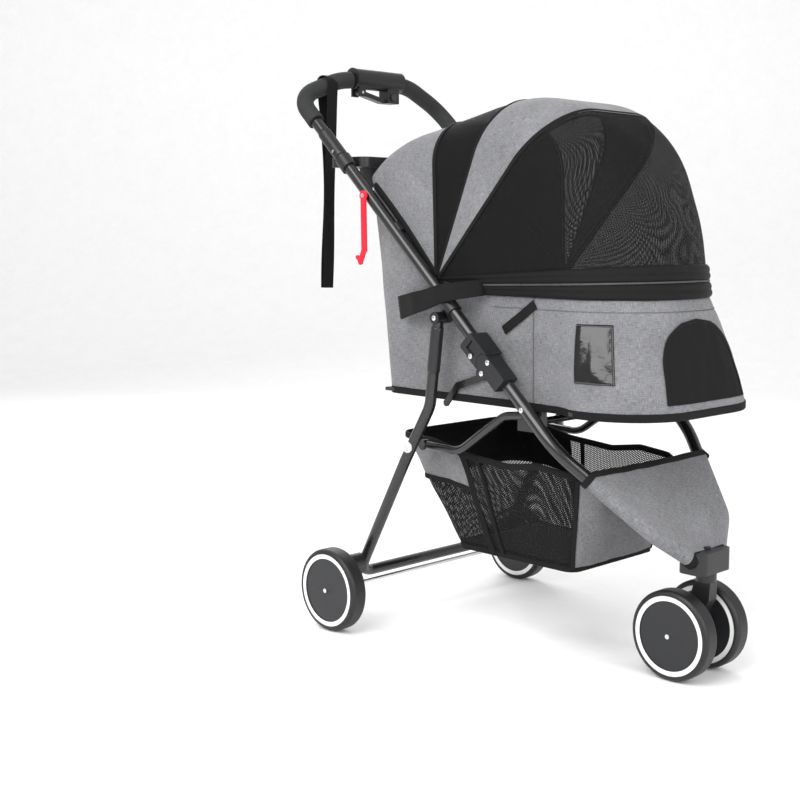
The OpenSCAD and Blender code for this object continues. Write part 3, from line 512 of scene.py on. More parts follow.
def band(width, thick, count=5):
    """Flat tape profile with rounded edges: a superellipse of power 4."""
    t = np.linspace(0, 2 * math.pi, 4 * count, endpoint=False)
    c, s = np.cos(t), np.sin(t)
    return np.stack([width / 2 * np.sign(c) * abs(c) ** 0.5, thick / 2 * np.sign(s) * abs(s) ** 0.5], -1)


grey_linen = linen("grey_linen", (0.235, 0.237, 0.248), (0.085, 0.086, 0.093))
black_lining = webbing("black_lining", (0.008, 0.008, 0.009), 0.0009, 0.9)
black_tape = webbing("black_tape", (0.0055, 0.0055, 0.006))

side_y, front_y, tail_x, widen_x, nose_x = 0.160, 0.185, -0.2088, 0.2107, 0.3912
half_plan = lambda inset: filleted(
    [[tail_x + inset, 0], [tail_x + inset, -side_y + inset], [widen_x, -side_y + inset],
     [widen_x + 0.036, -front_y + inset], [nose_x - inset, -front_y + inset], [nose_x - inset, 0]],
    [0.03, 0.05, 0.05, 0.12])
rear_run = even(filleted([[tail_x, 0], [tail_x, -side_y], [pivot[0], -side_y]], [0.03]), 41)
fore_run = even(filleted([[pivot[0], -side_y], [widen_x, -side_y], [widen_x + 0.036, -front_y],
                          [nose_x, -front_y], [nose_x, 0]], [0.05, 0.05, 0.12]), 111)
low_half = np.concatenate([rear_run, fore_run[1:]])
hood_top, band_seam, rear_bow, front_hoop, hood_foot = 92, 68, 48, 4, 134
hood_edge = even(arch(hood_foot, float(reach_at(hood_foot)), 0.171, 401)[:201][::-1], 41)
rim_y, rim_nose, rim_corner = 0.161, 0.3405, 0.148
fore_top = filleted([[pivot[0], -0.171, 0], [-0.02, -rim_y, 0], [rim_nose, -rim_y, 0], [rim_nose, 0, 0]],
                    [0.03, rim_corner], 24)
at_low, at_high = length_of(fore_run), length_of(fore_top)
share = np.interp(at_low, [0, 0.23, at_low[-1]], [0, 0.23, at_high[-1]])
fore_top = np.stack([np.interp(share, at_high, fore_top[:, k]) for k in range(3)], -1)
fore_top[:, 2] = rim_z + (pivot[2] - 0.004 - rim_z) * np.clip(
    1 - (fore_top[:, 0] - pivot[0]) / 0.035, 0, 1) ** 2
high_half = np.concatenate([hood_edge, fore_top[1:]])
low_half = np.c_[low_half, np.full(len(low_half), deck_z)]
mirrored = lambda half: np.concatenate([half, (half * [1, -1, 1])[-2:0:-1]])
low_loop, high_loop = mirrored(low_half), mirrored(high_half)
rise = np.linspace(0, 1, 33)[:, None]
wall = low_loop[None] * (1 - rise[..., None]) + high_loop[None] * rise[..., None]
outward = unit(np.cross(heading(low_loop, True), [0.0, 0.0, 1.0]))
x_here = low_loop[:, 0]
belly = np.interp(x_here, [-0.21, -0.16, -0.09, -0.06, 0.12, 0.16, 0.24, 0.33, 0.392],
                  [0.004, 0.006, 0.003, -0.004, -0.004, 0.003, 0.005, 0.006, 0.005])
girth = length_of(np.concatenate([low_loop, low_loop[:1]]))[:-1]
swell = np.sin(math.pi * rise) ** 0.75 * belly[None]
crease = ripple(girth[None] * 1.6, rise * 0.19, 5, 0.075, 0.0016) * np.sin(math.pi * rise) ** 0.5
crease += ripple(girth[None] * 3, rise * 0.12, 9, 0.05, 0.0008) * np.sin(math.pi * rise)
near_frame = np.interp(x_here, [-0.09, -0.06, 0.12, 0.15], [1, 0.4, 0.4, 1])
wall += outward[None] * (swell + crease * near_frame[None])[..., None]
# The top hem's stitched line pulls a shallow groove round the front half.
seam_v = 0.885
groove = np.exp(-(((rise - seam_v) / 0.02) ** 2)) * np.interp(x_here, [0.12, 0.15], [0, 1])[None]
wall -= outward[None] * (0.0012 * groove)[..., None]
tall = np.linalg.norm(high_loop - low_loop, axis=1)
cut = np.stack(np.broadcast_arrays(girth[None], rise * tall[None]), -1)
cabin_cloth = surface("cabin_cloth", wall, cut, [grey_linen, black_lining], wrap=True)
thick = cabin_cloth.modifiers.new("lining", "SOLIDIFY")
thick.thickness, thick.offset, thick.material_offset = 0.0022, -1, 1
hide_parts("cabin_walls")
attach(cabin_cloth, "front_frame")

def wall_at(girth_m, height, lift=0.0):
    """Points on the cabin wall: girth_m metres round from the nose, positive to the left, at a height
    above the floor, moved outward by lift."""
    nose = girth[len(low_half) - 1]
    column = np.interp(nose + np.asarray(girth_m, float), girth, np.arange(len(girth)))
    c0 = np.clip(column.astype(int), 0, len(girth) - 2)
    f = (column - c0)[..., None]
    strip = wall[:, c0] * (1 - f)[None] + wall[:, c0 + 1] * f[None]
    z = np.broadcast_to(np.asarray(height, float), column.shape)
    span = np.clip((z - strip[0, ..., 2]) / (strip[-1, ..., 2] - strip[0, ..., 2]), 0, 1) * 32
    r0 = np.clip(span.astype(int), 0, 31)
    g = (span - r0)[..., None]
    flat = strip.reshape(33, -1, 3)
    pick = np.arange(flat.shape[1])
    low, high = flat[r0.ravel(), pick], flat[r0.ravel() + 1, pick]
    found = low * (1 - g.reshape(-1, 1)) + high * g.reshape(-1, 1)
    out = (outward[c0] * (1 - f) + outward[c0 + 1] * f).reshape(-1, 3)
    return (found + out * lift).reshape(*column.shape, 3), unit(out).reshape(*column.shape, 3)


# Bound edge along the floor board.
edge_line = low_loop + outward * -0.0008 + [0, 0, -0.0015]
cabin_binding = swept("cabin_binding", edge_line, outward, band(0.0135, 0.0036), black_tape, closed=True)
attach(cabin_binding, "front_frame")

dress(linen("board_cover", (0.03, 0.03, 0.032), (0.012, 0.012, 0.013)), "cabin_board", "basket_board")


def stitches(name, line, face, finish, pitch=0.0042, thread=0.0006):
    """Row of thread stitches: short ovals two thirds of the pitch long, one per pitch, a hair proud of the cloth."""
    count = max(2, int(length_of(line)[-1] / pitch))
    mid = even(line, count)
    ahead = heading(mid)
    face = unit(np.broadcast_to(np.asarray(face, float), mid.shape) if np.ndim(face) == 1 else
                np.stack([np.interp(np.linspace(0, 1, count), np.linspace(0, 1, len(face)), face[:, k])
                          for k in range(3)], -1))
    side = unit(np.cross(face, ahead))
    t = np.array([-1, -0.72, 0.72, 1])
    grow = np.array([0.05, 1, 1, 0.05])
    turn_by = np.arange(6) * math.pi / 3
    points = (mid[:, None, None]
              + ahead[:, None, None] * (t * pitch * 0.34)[None, :, None, None]
              + (side[:, None, None] * np.cos(turn_by)[None, None, :, None] * 1.2
                 + face[:, None, None] * np.sin(turn_by)[None, None, :, None])
                * (thread * grow)[None, :, None, None])
    base = np.arange(count)[:, None, None] * 24
    quad = np.array([[[r * 6 + c, r * 6 + (c + 1) % 6, (r + 1) * 6 + (c + 1) % 6, (r + 1) * 6 + c]
                      for c in range(6)] for r in range(3)]).reshape(1, 18, 4)
    caps = np.array([[5, 4, 3, 2], [5, 2, 1, 0], [18, 19, 20, 21], [18, 21, 22, 23]]).reshape(1, 4, 4)
    faces = np.concatenate([base + quad[:, :, ::-1], base + caps[:, :, ::-1]], 1).reshape(-1, 4)
    mesh = bpy.data.meshes.new(name)
    mesh.from_pydata(points.reshape(-1, 3).tolist(), [], faces.tolist())
    layer = mesh.uv_layers.new(name="cut")
    layer.data.foreach_set("uv", (points.reshape(-1, 3)[faces.ravel()][:, [0, 2]]).astype(np.float32).ravel())
    mesh.materials.append(finish)
    piece = bpy.data.objects.new(name, mesh)
    bpy.context.scene.collection.objects.link(piece)
    return piece


grey_thread = webbing("grey_thread", (0.12, 0.12, 0.125), 0.0004)
round_nose = np.linspace(-0.47, 0.47, 260)
line, face = wall_at(round_nose, 0.6005, 0.0006)
hem_stitch = stitches("hem_stitch", line, face, grey_thread)
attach(hem_stitch, "front_frame")

# ---- nose window ----
# An arched vent in the front wall: black warp-knit net sewn under a folded binding.
def net(name, colour, hole, open_share, clear=True):
    """Warp-knit net: three cosine waves at sixty degrees on the cut's metres peak on a honeycomb of
    holes; above a threshold the yarn stops. Closed net paints its holes near black instead: the black
    lining inside seen through them, with the inside's shade painted in."""
    made, tree, shader = nodes_of(name)
    place = tree.nodes.new("ShaderNodeUVMap")
    place.uv_map = "cut"
    link = tree.links.new
    total = None
    for angle in (0, 120, 240):
        along = tree.nodes.new("ShaderNodeVectorMath")
        along.operation = "DOT_PRODUCT"
        k = 4 * math.pi / math.sqrt(3) / hole
        along.inputs[1].default_value = (k * math.cos(math.radians(angle)),
                                         k * math.sin(math.radians(angle)), 0)
        wave = tree.nodes.new("ShaderNodeMath")
        wave.operation = "COSINE"
        link(place.outputs[0], along.inputs[0])
        link(along.outputs["Value"], wave.inputs[0])
        if total is None:
            total = wave.outputs[0]
        else:
            add = tree.nodes.new("ShaderNodeMath")
            add.operation = "ADD"
            link(total, add.inputs[0])
            link(wave.outputs[0], add.inputs[1])
            total = add.outputs[0]
    fuzz = tree.nodes.new("ShaderNodeTexNoise")
    fuzz.inputs["Scale"].default_value = 500
    link(place.outputs[0], fuzz.inputs["Vector"])
    edge = tree.nodes.new("ShaderNodeMapRange")
    edge.inputs["From Min"].default_value = open_share - 0.25
    edge.inputs["From Max"].default_value = open_share + 0.25
    edge.inputs["To Min"].default_value, edge.inputs["To Max"].default_value = 1, 0.42 if clear else 0
    link(total, edge.inputs["Value"])
    mix = tree.nodes.new("ShaderNodeMix")
    mix.data_type = "RGBA"
    mix.inputs[6].default_value = (*[c * 0.55 for c in colour], 1)
    mix.inputs[7].default_value = (*[c * 1.5 for c in colour], 1)
    link(fuzz.outputs["Fac"], mix.inputs[0])
    if clear:
        link(mix.outputs[2], shader.inputs["Base Color"])
        link(edge.outputs[0], shader.inputs["Alpha"])
    else:
        hole_shade = tree.nodes.new("ShaderNodeMix")
        # Painted shade: the holes take a near-black colour for the dark, shaded cabin inside seen through the net.
        hole_shade.data_type = "RGBA"
        hole_shade.inputs[6].default_value = (0.003, 0.003, 0.0035, 1)
        link(edge.outputs[0], hole_shade.inputs[0])
        link(mix.outputs[2], hole_shade.inputs[7])
        link(hole_shade.outputs[2], shader.inputs["Base Color"])
    bump = tree.nodes.new("ShaderNodeBump")
    bump.inputs["Distance"].default_value = 0.0003
    bump.inputs["Strength"].default_value = 0.4
    link(edge.outputs[0], bump.inputs["Height"])
    link(bump.outputs[0], shader.inputs["Normal"])
    shader.inputs["Roughness"].default_value = 0.8
    shader.inputs["Specular IOR Level"].default_value = 0.15
    return made


window_low, window_top, window_half = 0.458, 0.585, 0.107
sill = np.linspace(0, 1, 25)
level = window_low + (window_top - window_low) * sill
shoulder = np.clip((level - 0.518) / (window_top - 0.518), 0, 1)
half_width = window_half * (1 - shoulder**2.3) ** (1 / 2.3) * np.interp(sill, [0, 1], [1.0, 0.97])
out_to = np.linspace(-1, 1, 41)
girths, levels = out_to[None] * half_width[:, None], np.repeat(level[:, None], 41, 1)
rows = [wall_at(g, h, 0.0014) for g, h in zip(girths, levels)]
pane = np.stack([r[0] for r in rows])
# The nose net's holes are painted near black, painted shade for the cabin's inside behind the vent.
nose_net = surface("nose_net", pane, np.stack([girths, levels], -1),
                   [net("closed_net", (0.009, 0.009, 0.0095), 0.0026, 1.1, clear=False)])
weld(nose_net)
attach(nose_net, "front_frame")
outline_g = np.concatenate([-half_width, half_width[-2::-1]])
outline_z = np.concatenate([level, level[-2::-1]])
smooth_outline = even(np.stack([outline_g, outline_z], -1), 120)
line, face = wall_at(smooth_outline[:, 0], smooth_outline[:, 1], 0.0019)
nose_binding = swept("nose_binding", line, face, band(0.0075, 0.0022), black_tape)
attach(nose_binding, "front_frame")

# ---- patch, side tape and seam ----
# A blank glossy vinyl patch is sewn to the right side; a black tape slants over the
# side where the wide nose panel joins the narrower rear panel.
vinyl = hard_finish("gloss_vinyl", (0.006, 0.006, 0.0065), 0.16, 0.012, 0.0009, 0.3)
patch_g, patch_z = np.meshgrid(np.linspace(-0.266, -0.193, 19), np.linspace(0.489, 0.5815, 25))
patch = np.stack([wall_at(g, h, 0.0012)[0] for g, h in zip(patch_g, patch_z)])
patch_x, patch_y = np.linspace(-1, 1, 19)[None], np.linspace(-1, 1, 25)[:, None]
patch[..., 1] -= 0.0012 * (1 - patch_x**6) * (1 - patch_y**6) + ripple(patch_g, patch_z, 3, 0.03, 0.0006)
side_patch = surface("side_patch", patch, np.stack([patch_g, patch_z], -1), [vinyl])
side_patch.modifiers.new("vinyl", "SOLIDIFY").thickness = 0.0008
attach(side_patch, "front_frame")
frame_g = np.r_[np.linspace(-0.264, -0.195, 20), np.full(24, -0.195),
                np.linspace(-0.195, -0.264, 20), np.full(24, -0.264)]
frame_z = np.r_[np.full(20, 0.491), np.linspace(0.491, 0.5795, 24),
                np.full(20, 0.5795), np.linspace(0.5795, 0.491, 24)]
line, face = wall_at(frame_g, frame_z, 0.0036)
patch_stitch = stitches("patch_stitch", line, face, grey_thread, pitch=0.0034)
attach(patch_stitch, "front_frame")

nose_girth = girth[len(low_half) - 1]
seam_at = -(nose_girth - np.interp(0.150, low_half[41:, 0], girth[41:len(low_half)]))
for sign, tag in ((1, "right"), (-1, "left")):
    line, face = wall_at(np.full(60, sign * seam_at), np.linspace(0.447, 0.618, 60), 0.0004)
    seam = swept(f"side_seam_{tag}", line, face, ring(0.0011, 0.0009, 8), grey_thread)
    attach(seam, "front_frame")
    g0 = np.interp(np.linspace(0, 1, 40), [0, 1], [seam_at + 0.004, seam_at - 0.068])
    line, face = wall_at(sign * g0, np.linspace(0.6085, 0.562, 40), 0.0022)
    tape = swept(f"side_tape_{tag}", line, face, band(0.016, 0.0022), black_tape)
    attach(tape, "front_frame")

# ---- floor pad ----
# A removable quilted mat of grey cloth over foam; it swells between its sewn
# channels and lies on the floor board.
pad_plan = half_plan(0.017)
pad_half = even(pad_plan, 90)
pad_loop = np.concatenate([pad_half, (pad_half * [1, -1])[-2:0:-1]])
pad_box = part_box("floor_pad")
shrink = np.r_[0.9975, 1, 0.9985, 0.985, np.linspace(0.95, 0.04, 26)]
pad_up = np.r_[0, 0.45, 0.8, 0.97, np.ones(26)]
centre = np.array([0.09, 0.0])
flat = centre + (pad_loop - centre)[None] * shrink[:, None, None]
bottom, thickness = pad_box[0].z, pad_box[1].z - pad_box[0].z
channel = np.minimum(abs(((flat[..., 0] + 0.02) / 0.095 + 0.5) % 1 - 0.5) * 0.095, 0.03) / 0.03
puff = bottom + thickness * pad_up[:, None] * np.where(shrink[:, None] < 0.98, 0.72 + 0.28 * channel**0.5, 1)
pad_points = np.concatenate([flat, puff[..., None]], -1)
under = np.concatenate([centre + (pad_loop - centre)[None] * np.r_[0.04, 0.5, 0.98][:, None, None],
                        np.full((3, len(pad_loop), 1), bottom)], -1)
pad_points = np.concatenate([under, pad_points])
mat_pad = surface("floor_mat", pad_points,
                  np.stack([pad_points[..., 0], pad_points[..., 1] + pad_points[..., 2]], -1),
                  [linen("pad_linen", (0.2, 0.2, 0.21), (0.09, 0.09, 0.1))], wrap=True)
weld(mat_pad)
fill = bmesh.new()
fill.from_mesh(mat_pad.data)
bmesh.ops.holes_fill(fill, edges=fill.edges, sides=0)
fill.to_mesh(mat_pad.data)
fill.free()
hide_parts("floor_pad")
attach(mat_pad, "front_frame")

# ---- canopy ----
# Three skins sewn edge to edge over two wire bows that turn on the pivots: a black net
# band behind, a linen stripe up to the rear bow and a netted dome down to the front hoop.
# The linen hood behind them stays on the cabin.
def skin(first, last, rows, columns=97, half_y=0.172, dip=0.0, seed=1, folds=0.0012):
    """Cloth between two arches: every row is the arch at one angle, drawn in between its two ends by
    dip times a half sine, as stretched cloth is, with shallow folds that fade at the seams."""
    t = np.linspace(0, 1, rows)
    angles = first + (last - first) * t
    lines = np.stack([arch(a, float(reach_at(a)), half_y, columns) for a in angles])
    u = length_of(lines[rows // 2])
    about = np.radians(angles - (first + last) / 2)[:, None] * np.linalg.norm(
        (lines - pivot)[..., [0, 2]], axis=-1)
    cut = np.stack(np.broadcast_arrays(u[None], about), -1)
    across_cloth = unit(np.cross(np.gradient(lines, axis=1), np.gradient(lines, axis=0)))
    facing = np.sign((across_cloth * (lines - [0.09, 0, 0.62])).sum(-1).mean())
    low = np.sin(np.pi * np.linspace(0, 1, columns))[None] ** 0.5
    move = (-dip * np.sin(np.pi * t)[:, None] * low
            + ripple(u[None], about, seed, 0.11, folds) * np.sin(np.pi * t)[:, None] * low)
    return lines + across_cloth * facing * move[..., None], cut, angles


hood_points, hood_cut, _ = skin(hood_top, hood_foot, 21, dip=-0.004, seed=4, folds=0.002)
hood_cloth = surface("hood_cloth", hood_points, hood_cut, [grey_linen, black_lining])
lining = hood_cloth.modifiers.new("lining", "SOLIDIFY")
lining.thickness, lining.offset, lining.material_offset = 0.0018, -1, 1
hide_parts("rear_hood")
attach(hood_cloth, "front_frame")

clear_net = net("clear_net", (0.0065, 0.0065, 0.007), 0.0019, 0.7)
dense_net = net("dense_net", (0.006, 0.006, 0.0065), 0.0020, 1.05)


def swing(piece):
    """Welds the cloth's coincident points and bakes its placement into the mesh."""
    weld(piece)
    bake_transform(piece)


for tag, first, last, finish, slot, dip in (
    ("net_band", hood_top, band_seam, dense_net, "black_mesh", 0.003),
    ("linen_stripe", band_seam, rear_bow, grey_linen, "grey_cloth", -0.002),
):
    points, cut, _ = skin(first, last, 19, dip=dip, seed=7)
    piece = surface(f"canopy_{tag}", points, cut, [finish, black_lining])
    if tag == "linen_stripe":
        stripe = piece
        back_side = piece.modifiers.new("lining", "SOLIDIFY")
        back_side.thickness, back_side.offset = 0.0012, -1
    if tag == "net_band":
        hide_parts("canopy_band")
    swing(piece)

points, cut, _ = skin(rear_bow, front_hoop + 0.5, 49, dip=0.006, seed=12, folds=0.003)
dome = surface("canopy_dome_net", points, cut, [clear_net])
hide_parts("canopy_dome")
# The front hoop turns 78 degrees while the rear bow turns 40, so the dome's rear edge
# keeps 0.513 of the turn.
share = 0.5085
weld(dome)
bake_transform(dome)

for tag, angle, wide, body in (("hood_seam", hood_top, 0.008, None), ("band_seam", band_seam, 0.006, "bow"),
                               ("bow_seam", rear_bow + 0.5, 0.0075, "bow")):
    line = arch(angle, float(reach_at(angle)) + 0.0008, 0.1728, 121)
    a = math.radians(angle)
    face = unit(np.cross(heading(line), [-math.sin(a), 0, math.cos(a)]))
    face *= np.sign((face * (line - [0.05, 0, 0.65])).sum(-1).mean())
    piece = swept(f"canopy_{tag}", line, face, band(wide, 0.002), black_tape)
    if body:
        swing(piece)
    else:
        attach(piece, "front_frame")

# ---- rim zip ----
# Two rows of coil zip join the canopy to the cabin. The lower tape is sewn to the
# cabin's hem and the upper one to the front hoop's sleeve, so the canopy lifts off the rim.
zip_cloth = webbing("zip_cloth", (0.005, 0.005, 0.0055), 0.0011, 0.6)
coil = hard_finish("zip_coil", (0.05, 0.05, 0.055), 0.3, 0.0009, 0.0002, 0.3)
ends = even(filleted([[-0.058, -0.1655, 0], [-0.02, -rim_y - 0.003, 0], [rim_nose + 0.003, -rim_y - 0.003, 0],
                      [rim_nose + 0.003, rim_y + 0.003, 0], [-0.02, rim_y + 0.003, 0], [-0.058, 0.1655, 0]],
                     [0.03, 0.15, 0.15, 0.03], 24), 241)
rim_line = ends + [0, 0, 1] * (rim_z - 0.002 + 0.014 * np.clip(1 - (ends[:, :1] + 0.058) / 0.06, 0, 1) ** 2)
hoop_line = arch(front_hoop, 0.3995, 0.1735, 301)
hoop_line = even(hoop_line[(hoop_line[:, 0] > -0.058)], 241)
hoop_line[:, 2] += 0.004
for tag, v0, v1, body, slot in (("lower", 0.0, 0.5, "front_frame", "black_webbing"),
                                ("upper", 0.54, 1.04, "hoop", "black_webbing")):
    v = np.linspace(v0, v1, 13)[:, None, None]
    sheet_points = rim_line[None] * (1 - v) + hoop_line[None] * v
    k = np.linspace(0, 1, 13)[:, None]
    out = unit(np.cross(heading(rim_line), [0.0, 0.0, 1.0]))
    swellings = 0.0042 * (1 - (2 * k - 1) ** 4) - 0.0016 * np.exp(-(((k - 0.5) / 0.1) ** 2))
    sheet_points = sheet_points + out[None] * (
        swellings + ripple(length_of(rim_line)[None], k * 0.02, 31, 0.06, 0.0009))[..., None]
    cut = np.stack(np.broadcast_arrays(length_of(rim_line)[None], k * 0.022), -1)
    piece = surface(f"rim_zip_{tag}", sheet_points, cut, [zip_cloth])
    piece.modifiers.new("tape", "SOLIDIFY").thickness = 0.0016
    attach(piece, body)
crease = rim_line * 0.48 + hoop_line * 0.52
wave = np.sin(np.arange(len(crease) * 6) * 1.9)[:, None] * 0.0003
teeth_line = even(crease, len(crease) * 6)
zip_teeth = swept("zip_teeth",
                  teeth_line + unit(np.cross(heading(teeth_line), [0.0, 0.0, 1.0])) * (0.001 + wave),
                  (0, 0, 1), ring(0.0014, 0.0019, 8), coil)
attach(zip_teeth, "front_frame")

# ---- hood edge sleeve ----
# The hood is bound with a padded black edge that lies along the front of each handle
# tube and is held to it by a small moulded clip.
rake = math.radians(43)
hinge = np.array([0.0732, 0.0, 0.492])


def beside(s, n, y):
    """Point s metres up the handle tube from the fold hinge, n in front of the hinge pin and y to the left."""
    s, n, y = np.broadcast_arrays(np.asarray(s, float), np.asarray(n, float), np.asarray(y, float))
    return np.stack([hinge[0] - s * math.cos(rake) + n * math.sin(rake), y,
                     hinge[2] + s * math.sin(rake) + n * math.cos(rake)], -1)


tube_n, tube_y = 0.015, 0.185
for side, tag in ((-1, "right"), (1, "left")):
    s = np.linspace(0.208, 0.452, 60)
    along = (s - s[0]) / (s[-1] - s[0])
    edge = beside(s, tube_n + 0.004 + 0.009 * along + 0.006 * np.sin(np.pi * along) ** 0.7,
                  side * (0.1715 - 0.018 * np.clip((along - 0.85) / 0.15, 0, 1) ** 2))
    piece = swept(f"hood_edge_{tag}", edge, (math.sin(rake), 0, math.cos(rake)),
                  band(0.009, 0.013), black_tape)
    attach(piece, "front_frame")
    s = np.linspace(0.318, 0.336, 9)
    clip = swept(f"edge_clip_{tag}", beside(s, tube_n + 0.0095, side * 0.178),
                 (math.sin(rake), 0, math.cos(rake)),
                 band(0.022, 0.008), moulding)
    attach(clip, "handle")
    # The rim zip's cover runs on past the pivot, wraps outside the tube and ends in a square stitched tail.
    t = np.linspace(0, 1, 31)
    place_x = np.interp(t, [0, 0.3, 0.55, 1], [0.045, -0.02, -0.062, -0.139])
    place_z = np.interp(t, [0, 0.3, 0.55, 1], [0.632, 0.622, 0.609, 0.5905])
    place_y = -np.interp(t, [0, 0.18, 0.42, 0.75, 1], [0.1715, 0.199, 0.2015, 0.200, 0.190])
    tall = np.interp(t, [0, 0.3, 1], [0.026, 0.032, 0.041])
    k = np.linspace(-0.5, 0.5, 9)[:, None]
    lean = np.array([-0.18, 0, 0.984])
    flap = np.stack([place_x, place_y, place_z], -1)[None] + (k * tall[None])[..., None] * lean
    flap[..., 1] -= ripple(place_x[None] * 1.5, k * 0.04, 17, 0.05, 0.0009)
    flap[..., 1] *= -side
    if side > 0:
        flap = flap[::-1]
    cut = np.stack(np.broadcast_arrays(
        length_of(np.stack([place_x, place_y, place_z], -1))[None], k * tall[None]), -1)
    tail = surface(f"zip_cover_{tag}", flap[:, ::-1], cut, [zip_cloth])
    thick = tail.modifiers.new("webbing", "SOLIDIFY")
    thick.thickness, thick.offset = 0.0022, 0
    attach(tail, "handle")

# ---- basket ----
# A slung bag of black net with linen panels over its tail and nose. Black tape binds the
# rim, the panels and the floor; two webbing straps run down each side.
rim_half = filleted([[0.268, 0], [0.268, -0.116], [0.205, -0.143], [-0.19, -0.144], [-0.19, 0]],
                    [0.03, 0.06, 0.035], 14)
sole_half = filleted([[0.200, 0], [0.200, -0.1], [0.190, -0.113], [-0.074, -0.113], [-0.074, 0]],
                     [0.012, 0.02, 0.03], 14)
loops = [mirrored(np.c_[even(half, 81), np.zeros(81)]) for half in (rim_half, sole_half)]
bag_rim, bag_sole = loops
bag_rim[:, 2] = np.interp(bag_rim[:, 0], [-0.19, -0.10, -0.02, 0.08, 0.145, 0.21, 0.268],
                          [0.356, 0.353, 0.336, 0.328, 0.337, 0.330, 0.306])
bag_sole[:, 2] = 0.1645
down = np.linspace(0, 1, 33)[:, None]
bag_out = unit(np.cross([0.0, 0.0, 1.0], heading(bag_rim, True)))
bag_out *= np.sign((bag_out * (bag_rim - [0.04, 0, 0])).sum())
around = length_of(np.concatenate([bag_rim, bag_rim[:1]]))[:-1]
bag = bag_rim[None] * (1 - down[..., None]) + bag_sole[None] * down[..., None]
sag = np.sin(math.pi * down) ** 0.8 * (-0.004 + 0.009 * down)
sag = sag + ripple(around[None] * 1.4, down * 0.2, 41, 0.1, 0.003) * np.sin(math.pi * down) ** 0.5
bag = bag + bag_out[None] * sag[..., None]
bag_cut = np.stack(np.broadcast_arrays(around[None], down * 0.2), -1)
inward = np.array([0.97, 0.9, 0.7, 0.4, 0.1, 0.01])[:, None, None]
sole = np.array([0.063, 0, 0.1645]) + (bag_sole - [0.063, 0, 0.1645])[None] * inward
sole[..., 2] -= 0.0015 * (1 - inward[..., 0])
sole_cut = np.stack(np.broadcast_arrays(around[None], 0.2 + 0.1 * (1 - inward[..., 0])), -1)
basket_net = surface("basket_net", np.concatenate([bag, sole])[::-1],
                     np.concatenate([bag_cut, sole_cut])[::-1],
                     [net("basket_net", (0.0075, 0.0075, 0.008), 0.0042, 0.75)], wrap=True)
weld(basket_net)
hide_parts("basket")
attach(basket_net, "front_frame")


def bag_patch(tag, columns, rows):
    """Linen panel a millimetre outside the bag, over some of its columns and rows, lined in black."""
    points = (bag + bag_out[None] * 0.0014)[:rows][:, columns]
    cut = np.stack(np.broadcast_arrays(length_of(points[0])[None], down[:rows] * 0.2), -1)
    piece = surface(f"basket_{tag}", points, cut, [grey_linen, black_lining])
    lined = piece.modifiers.new("lining", "SOLIDIFY")
    lined.thickness, lined.offset, lined.material_offset = 0.0011, 0, 1
    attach(piece, "front_frame")
    return piece


def bag_tape(tag, line, face, width):
    """Black tape sewn along a line on the bag."""
    piece = swept(f"basket_{tag}", line, face, band(width, 0.0026), black_tape)
    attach(piece, "front_frame")
    return piece


columns = np.arange(len(bag_rim))
tail_columns = columns[bag_rim[:, 0] < -0.022]
nose_columns = np.roll(columns, 30)[:60]
nose_columns = nose_columns[bag_rim[nose_columns, 0] > 0.222]
tail_rows = 13
tail_panel = bag_patch("tail_panel", tail_columns, tail_rows)
nose_panel = bag_patch("nose_panel", nose_columns, 33)
lifted = bag + bag_out[None] * 0.003
bag_tape("tail_hem", lifted[tail_rows - 1, tail_columns], bag_out[tail_columns], 0.009)
for end, tag in ((tail_columns[0], "right"), (tail_columns[-1], "left")):
    bag_tape(f"strap_{tag}", lifted[:, end], np.broadcast_to(bag_out[end], (33, 3)), 0.013)
    bag_tape(f"strap_fore_{tag}", lifted[:, end - 4 if tag == "right" else end + 4],
             np.broadcast_to(bag_out[end], (33, 3)), 0.008)
for end, tag in ((nose_columns[0], "left"), (nose_columns[-1], "right")):
    bag_tape(f"nose_edge_{tag}", lifted[:, end], np.broadcast_to(bag_out[end], (33, 3)), 0.008)
rim_binding = swept("basket_rim_binding", bag_rim, bag_out, band(0.011, 0.006), black_tape, closed=True)
sole_binding = swept("basket_sole_binding", bag_sole + bag_out * 0.001, bag_out,
                     band(0.010, 0.005), black_tape, closed=True)
for piece in (rim_binding, sole_binding):
    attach(piece, "front_frame")

# ---- front shield ----
# Linen shield laced round both front tubes above the caster, hemmed in black.
tube_line = filleted([beside(0.008, tube_n, -tube_y), beside(-tube_y, tube_n, -tube_y),
                      [0.3509, -0.0999, 0.2484], [0.3892, -0.029, 0.196]], [0.15, 0.07], 24)
tube_line = even(tube_line, 400)
station = even(tube_line[(tube_line[:, 0] > 0.264) & (tube_line[:, 0] < 0.384)], 33)
tangent = heading(station)
lift = unit(np.cross(tangent, [0.0, 1.0, 0.0]))
lift *= np.sign(lift[:, :1] + lift[:, 2:])
outer = unit(np.cross(tangent, lift))
outer *= -np.sign(outer[:, 1:2])
wrap_by = np.radians(np.linspace(210, 0, 19))
wrapped = station[:, None] + 0.0134 * (lift[:, None] * np.cos(wrap_by)[None, :, None]
                                       + outer[:, None] * np.sin(wrap_by)[None, :, None])
flip_y = np.array([1, -1, 1])
from_edge, to_edge = wrapped[:, -1:], wrapped[:, -1:] * flip_y
reach_over = np.linspace(0, 1, 41)[None, 1:-1, None]
span = from_edge * (1 - reach_over) + to_edge * reach_over
v = np.linspace(0, 1, 33)[:, None]
span = span - lift[:, None] * (0.004 * np.sin(math.pi * reach_over))
across_y = span[..., 1]
span = span + lift[:, None] * (
    ripple(across_y, v * 0.12, 51, 0.06, 0.0018) * np.sin(math.pi * reach_over[..., 0]))[..., None]
shield_points = np.concatenate([wrapped, span, (wrapped * flip_y)[:, ::-1]], 1)
shield_u = length_of(shield_points[0])
shield_cut = np.stack(np.broadcast_arrays(shield_u[None], v * 0.165), -1)
